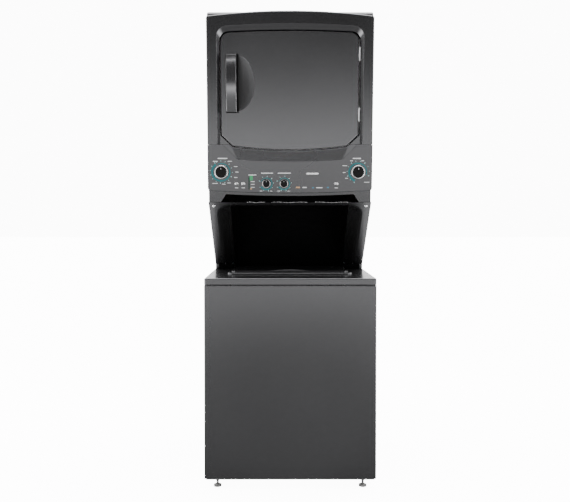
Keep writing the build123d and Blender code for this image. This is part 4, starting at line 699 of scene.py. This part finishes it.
def screw_head(mesh_data, m, radius, height):
    """A domed head with a washer face; its cross recess is four raised quarters round a sunk cross."""
    add_lathe(mesh_data, (
        (radius, 0.0), (radius, height * 0.3), (radius * 0.93, height * 0.55), (radius * 0.8, height * 0.8),
        (radius * 0.62, height * 0.92), (radius * 0.6, height * 0.7), (0, height * 0.66),
    ), m, 40)
    for quarter in range(4):
        turn = pi / 4 + quarter * pi / 2
        place_out = (radius * 0.36 * cos(turn), radius * 0.36 * sin(turn))
        pad = rounded(radius * 0.4, radius * 0.4, radius * 0.12, place_out, 0, 3)
        add_prism(mesh_data, pad, height * 0.5, height * 0.98, m, radius * 0.06)


heads = bmesh.new()
screw_mid = Vector((0, (screws_low[1] + screws_high[1]) / 2, (screws_low[2] + screws_high[2]) / 2))
screw_mid -= slope_out * 0.0015
for x in (screws_low[0] + 0.006, screws_high[0] - 0.006):
    screw_head(heads, on_slope(Vector((x, screw_mid.y, screw_mid.z))), 0.0072, 0.0032)
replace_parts(finish_mesh("panel_screw_heads", heads, chrome, "machine"), "panel_screws")

# The rolled lip is bright metal set along the panel's top edge: a painted highlight for the light that edge
# catches.
LIP = 0.0009  # half height of the rolled lip
LIP_RUNS = ((-0.182, -0.101), (-0.081, 0.077), (0.101, 0.253))
around_lip = [pi * q / 4 for q in range(8)]
lip_highlight = bmesh.new()
for start, end in LIP_RUNS:
    steps = 24
    rings = []
    for k in range(steps + 1):
        x = start + (end - start) * k / steps
        wave = 0.0010 * sin(pi * k / steps * 3)
        taper = max(0.25, min(1, 6 * min(k, steps - k) / steps))
        middle = Vector((x, panel_low[1] + 0.0006, panel_high[2] + LIP * 0.4 + wave))
        spots = [Vector((0, LIP * cos(a) * 0.6, LIP * taper * sin(a))) for a in around_lip]
        rings.append([lip_highlight.verts.new(middle + spot) for spot in spots])
    for lower, upper in zip(rings, rings[1:]):
        for q in range(8):
            lip_highlight.faces.new((lower[q], upper[q], upper[(q + 1) % 8], lower[(q + 1) % 8]))
    lip_highlight.faces.new(rings[0])
    lip_highlight.faces.new(rings[-1])
finish_mesh("panel_lip_highlight", lip_highlight, materials["screw_metal"], "machine")

# Ribbed covers on the lid's hinges
brackets_low, brackets_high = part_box("lid_hinge_brackets")
ribs = bmesh.new()
for end in (-1, 1):
    across = end * (abs(brackets_low[0]) - 0.036)
    for rib in range(4):
        z = brackets_low[2] + 0.0028 + 0.0034 * rib
        m = Matrix.Translation((across, brackets_low[1], z)) @ Matrix.Rotation(radians(90), 4, "X")
        add_prism(ribs, rounded(0.064, 0.0016, 0.0007, steps=2), 0, 0.0012, m, 0.0003)
finish_mesh("hinge_cover_ribs", ribs, materials["black_plastic"], "machine")

# Screws in the back of the cabinet and the tower
tower_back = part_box("tower_rear_panel")[1][1]
cabinet_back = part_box("washer_cabinet")[1][1]
SUPPLY_X = 0.19
SUPPLY_Z = 1.01
SUPPLY_SCREW = 0.048  # from the supply cover's middle to its screws, across and up
SIDE_SCREW = 0.325
behind = Matrix.Rotation(radians(-90), 4, "X")
rear_heads = bmesh.new()
rear_places = [(side * SIDE_SCREW, z) for side in (-1, 1) for z in (0.875, 1.05, 1.25, 1.45, 1.65, 1.87)]
rear_places += [(side * 0.15, z) for side in (-1, 1) for z in (0.86, 1.89)]
cover_places = [
    (SUPPLY_X + side * SUPPLY_SCREW, SUPPLY_Z + up * SUPPLY_SCREW) for side in (-1, 1) for up in (-1, 1)
]
rear_places += cover_places
rear_places += [(side * SIDE_SCREW, z) for side in (-1, 1) for z in (0.08, 0.43, 0.78)]
for x, z in rear_places:
    back = tower_back if (x, z) in cover_places else cabinet_back
    screw_head(rear_heads, Matrix.Translation((x, back, z)) @ behind, 0.0048, 0.0022)
finish_mesh("rear_screw_heads", rear_heads, materials["screw_metal"], "machine")

# ---------------------------------------------------------------- stage, lights and world
def seen_by_camera(tree, other, camera):
    """One strength for what the camera sees, and another for light and reflections."""
    path = tree.nodes.new("ShaderNodeLightPath")
    choose = tree.nodes.new("ShaderNodeMix")
    choose.data_type = "FLOAT"
    tree.links.new(path.outputs["Is Camera Ray"], choose.inputs["Factor"])
    tree.links.new(other, choose.inputs["A"])
    choose.inputs["B"].default_value = camera
    return choose.outputs["Result"]


floor_mesh = bmesh.new()
bmesh.ops.create_grid(floor_mesh, x_segments=1, y_segments=1, size=30)
floor_data = bpy.data.meshes.new("floor")
floor_mesh.to_mesh(floor_data)
floor_mesh.free()
floor = bpy.data.objects.new("floor", floor_data)
scene.collection.objects.link(floor)
floor_material, floor_tree, floor_shader = new_material("floor")
floor_drift = noise(floor_tree, place(floor_tree), 0.6, 2.0)
floor_tree.links.new(spread(floor_tree, floor_drift, 0.85, 0.95), floor_shader.inputs["Roughness"])
floor_shader.inputs["Specular IOR Level"].default_value = 0.1
paper = floor_tree.nodes.new("ShaderNodeMix")
paper.data_type = "RGBA"
floor_tree.links.new(tint(floor_tree, floor_drift, (0.1, 0.1, 0.1), (0.13, 0.13, 0.13)), paper.inputs["A"])
floor_tree.links.new(tint(floor_tree, floor_drift, (0.84, 0.84, 0.84), (0.9, 0.9, 0.9)), paper.inputs["B"])
floor_path = floor_tree.nodes.new("ShaderNodeLightPath")
floor_tree.links.new(floor_path.outputs["Is Camera Ray"], paper.inputs["Factor"])
floor_tree.links.new(paper.outputs["Result"], floor_shader.inputs["Base Color"])


# The paper sweep glows in patches: far off in front, out to each side, and close beside the machine.
floor_place = place(floor_tree)
reach = floor_tree.nodes.new("ShaderNodeVectorMath")
reach.operation = "LENGTH"
floor_tree.links.new(floor_place, reach.inputs[0])
distance = reach.outputs["Value"]
floor_axes = floor_tree.nodes.new("ShaderNodeSeparateXYZ")
floor_tree.links.new(floor_place, floor_axes.inputs["Vector"])
aside = calculate(floor_tree, "ABSOLUTE", floor_axes.outputs["X"])
sweep = floor_tree.nodes.new("ShaderNodeFloatCurve")
floor_tree.links.new(spread(floor_tree, distance, 0, 1, 0, FLOOR_RANGE), sweep.inputs["Value"])
curve = sweep.mapping.curves[0]
curve.points[0].location = (0.0, FLOOR_START)
curve.points[1].location = (1.0, FLOOR_END)
for spot, value in FLOOR_SWEEP:
    curve.points.new(spot, value)
sweep.mapping.clip_max_y = 3
sweep.mapping.update()
ahead = spread(floor_tree, calculate(floor_tree, "DIVIDE", aside, distance), 1, 0.25, 0.25, 0.7)
far_patch = calculate(floor_tree, "MULTIPLY", sweep.outputs["Value"], ahead)
out_side = spread(floor_tree, aside, 0, FLOOR_SIDE, 0.9, 2.0)
side_patch = calculate(floor_tree, "MULTIPLY", out_side, spread(floor_tree, distance, 1, 0, 3.5, 6.5))
rise = spread(floor_tree, aside, 0, FLOOR_BESIDE, 0.345, 0.42)
across = calculate(floor_tree, "MULTIPLY", rise, spread(floor_tree, aside, 1, 0, 0.7, 1.2))
behind_front = spread(floor_tree, floor_axes.outputs["Y"], 0, 1, -0.5, -0.3)
fore_and_aft = calculate(
    floor_tree, "MULTIPLY", behind_front, spread(floor_tree, floor_axes.outputs["Y"], 1, 0, 0.5, 1.0)
)
beside_patch = calculate(floor_tree, "MULTIPLY", across, fore_and_aft)
glow = calculate(floor_tree, "ADD", calculate(floor_tree, "ADD", far_patch, side_patch), beside_patch)
floor_tree.links.new(seen_by_camera(floor_tree, glow, WHITE), floor_shader.inputs["Emission Strength"])
glow_colour = tint(floor_tree, floor_drift, (0.97, 0.97, 0.97), (1, 1, 1))
floor_tree.links.new(glow_colour, floor_shader.inputs["Emission Color"])
floor_data.materials.append(floor_material)
floor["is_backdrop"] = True


def soft_light(name, place_at, aim, size, power):
    data = bpy.data.lights.new(name, "AREA")
    data.shape = "RECTANGLE"
    data.size, data.size_y = size
    data.energy = power
    lamp = bpy.data.objects.new(name, data)
    lamp.location = place_at
    lamp.rotation_euler = (Vector(aim) - Vector(place_at)).to_track_quat("-Z", "Y").to_euler()
    scene.collection.objects.link(lamp)
    return lamp


soft_light("top_light", (0, -0.4, 4.4), (0, -0.2, 0), (3.0, 2.4), 90)
soft_light("high_strip", (-0.15, -3.6, 3.15), (0, -0.3, 1.6), (1.2, 0.16), 2.5)
soft_light("left_strip", (-2.4, -1.5, 1.5), (0, -0.3, 1.3), (0.35, 2.4), 20)
soft_light("right_strip", (2.4, -1.5, 1.5), (0, -0.3, 1.3), (0.35, 2.4), 20)

world = bpy.data.worlds.new("studio")
scene.world = world
world.use_nodes = True
sky = world.node_tree
background = sky.nodes["Background"]
direction = sky.nodes.new("ShaderNodeTexCoord")
split = sky.nodes.new("ShaderNodeSeparateXYZ")
sky.links.new(direction.outputs["Generated"], split.inputs["Vector"])
side = calculate(sky, "ABSOLUTE", split.outputs["X"])
strength = WORLD_FRONT
for source, start, end, amount in (
    (split.outputs["Y"], -0.2, 0.35, WORLD_BEHIND),
    (side, 0.45, 0.95, WORLD_SIDE),
    (split.outputs["Z"], 0.55, 0.9, WORLD_UP),
):
    strength = calculate(sky, "ADD", spread(sky, source, 0, amount, start, end), strength)
sky.links.new(seen_by_camera(sky, strength, WHITE), background.inputs["Strength"])
background.inputs["Color"].default_value = (1, 1, 1, 1)

low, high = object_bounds()
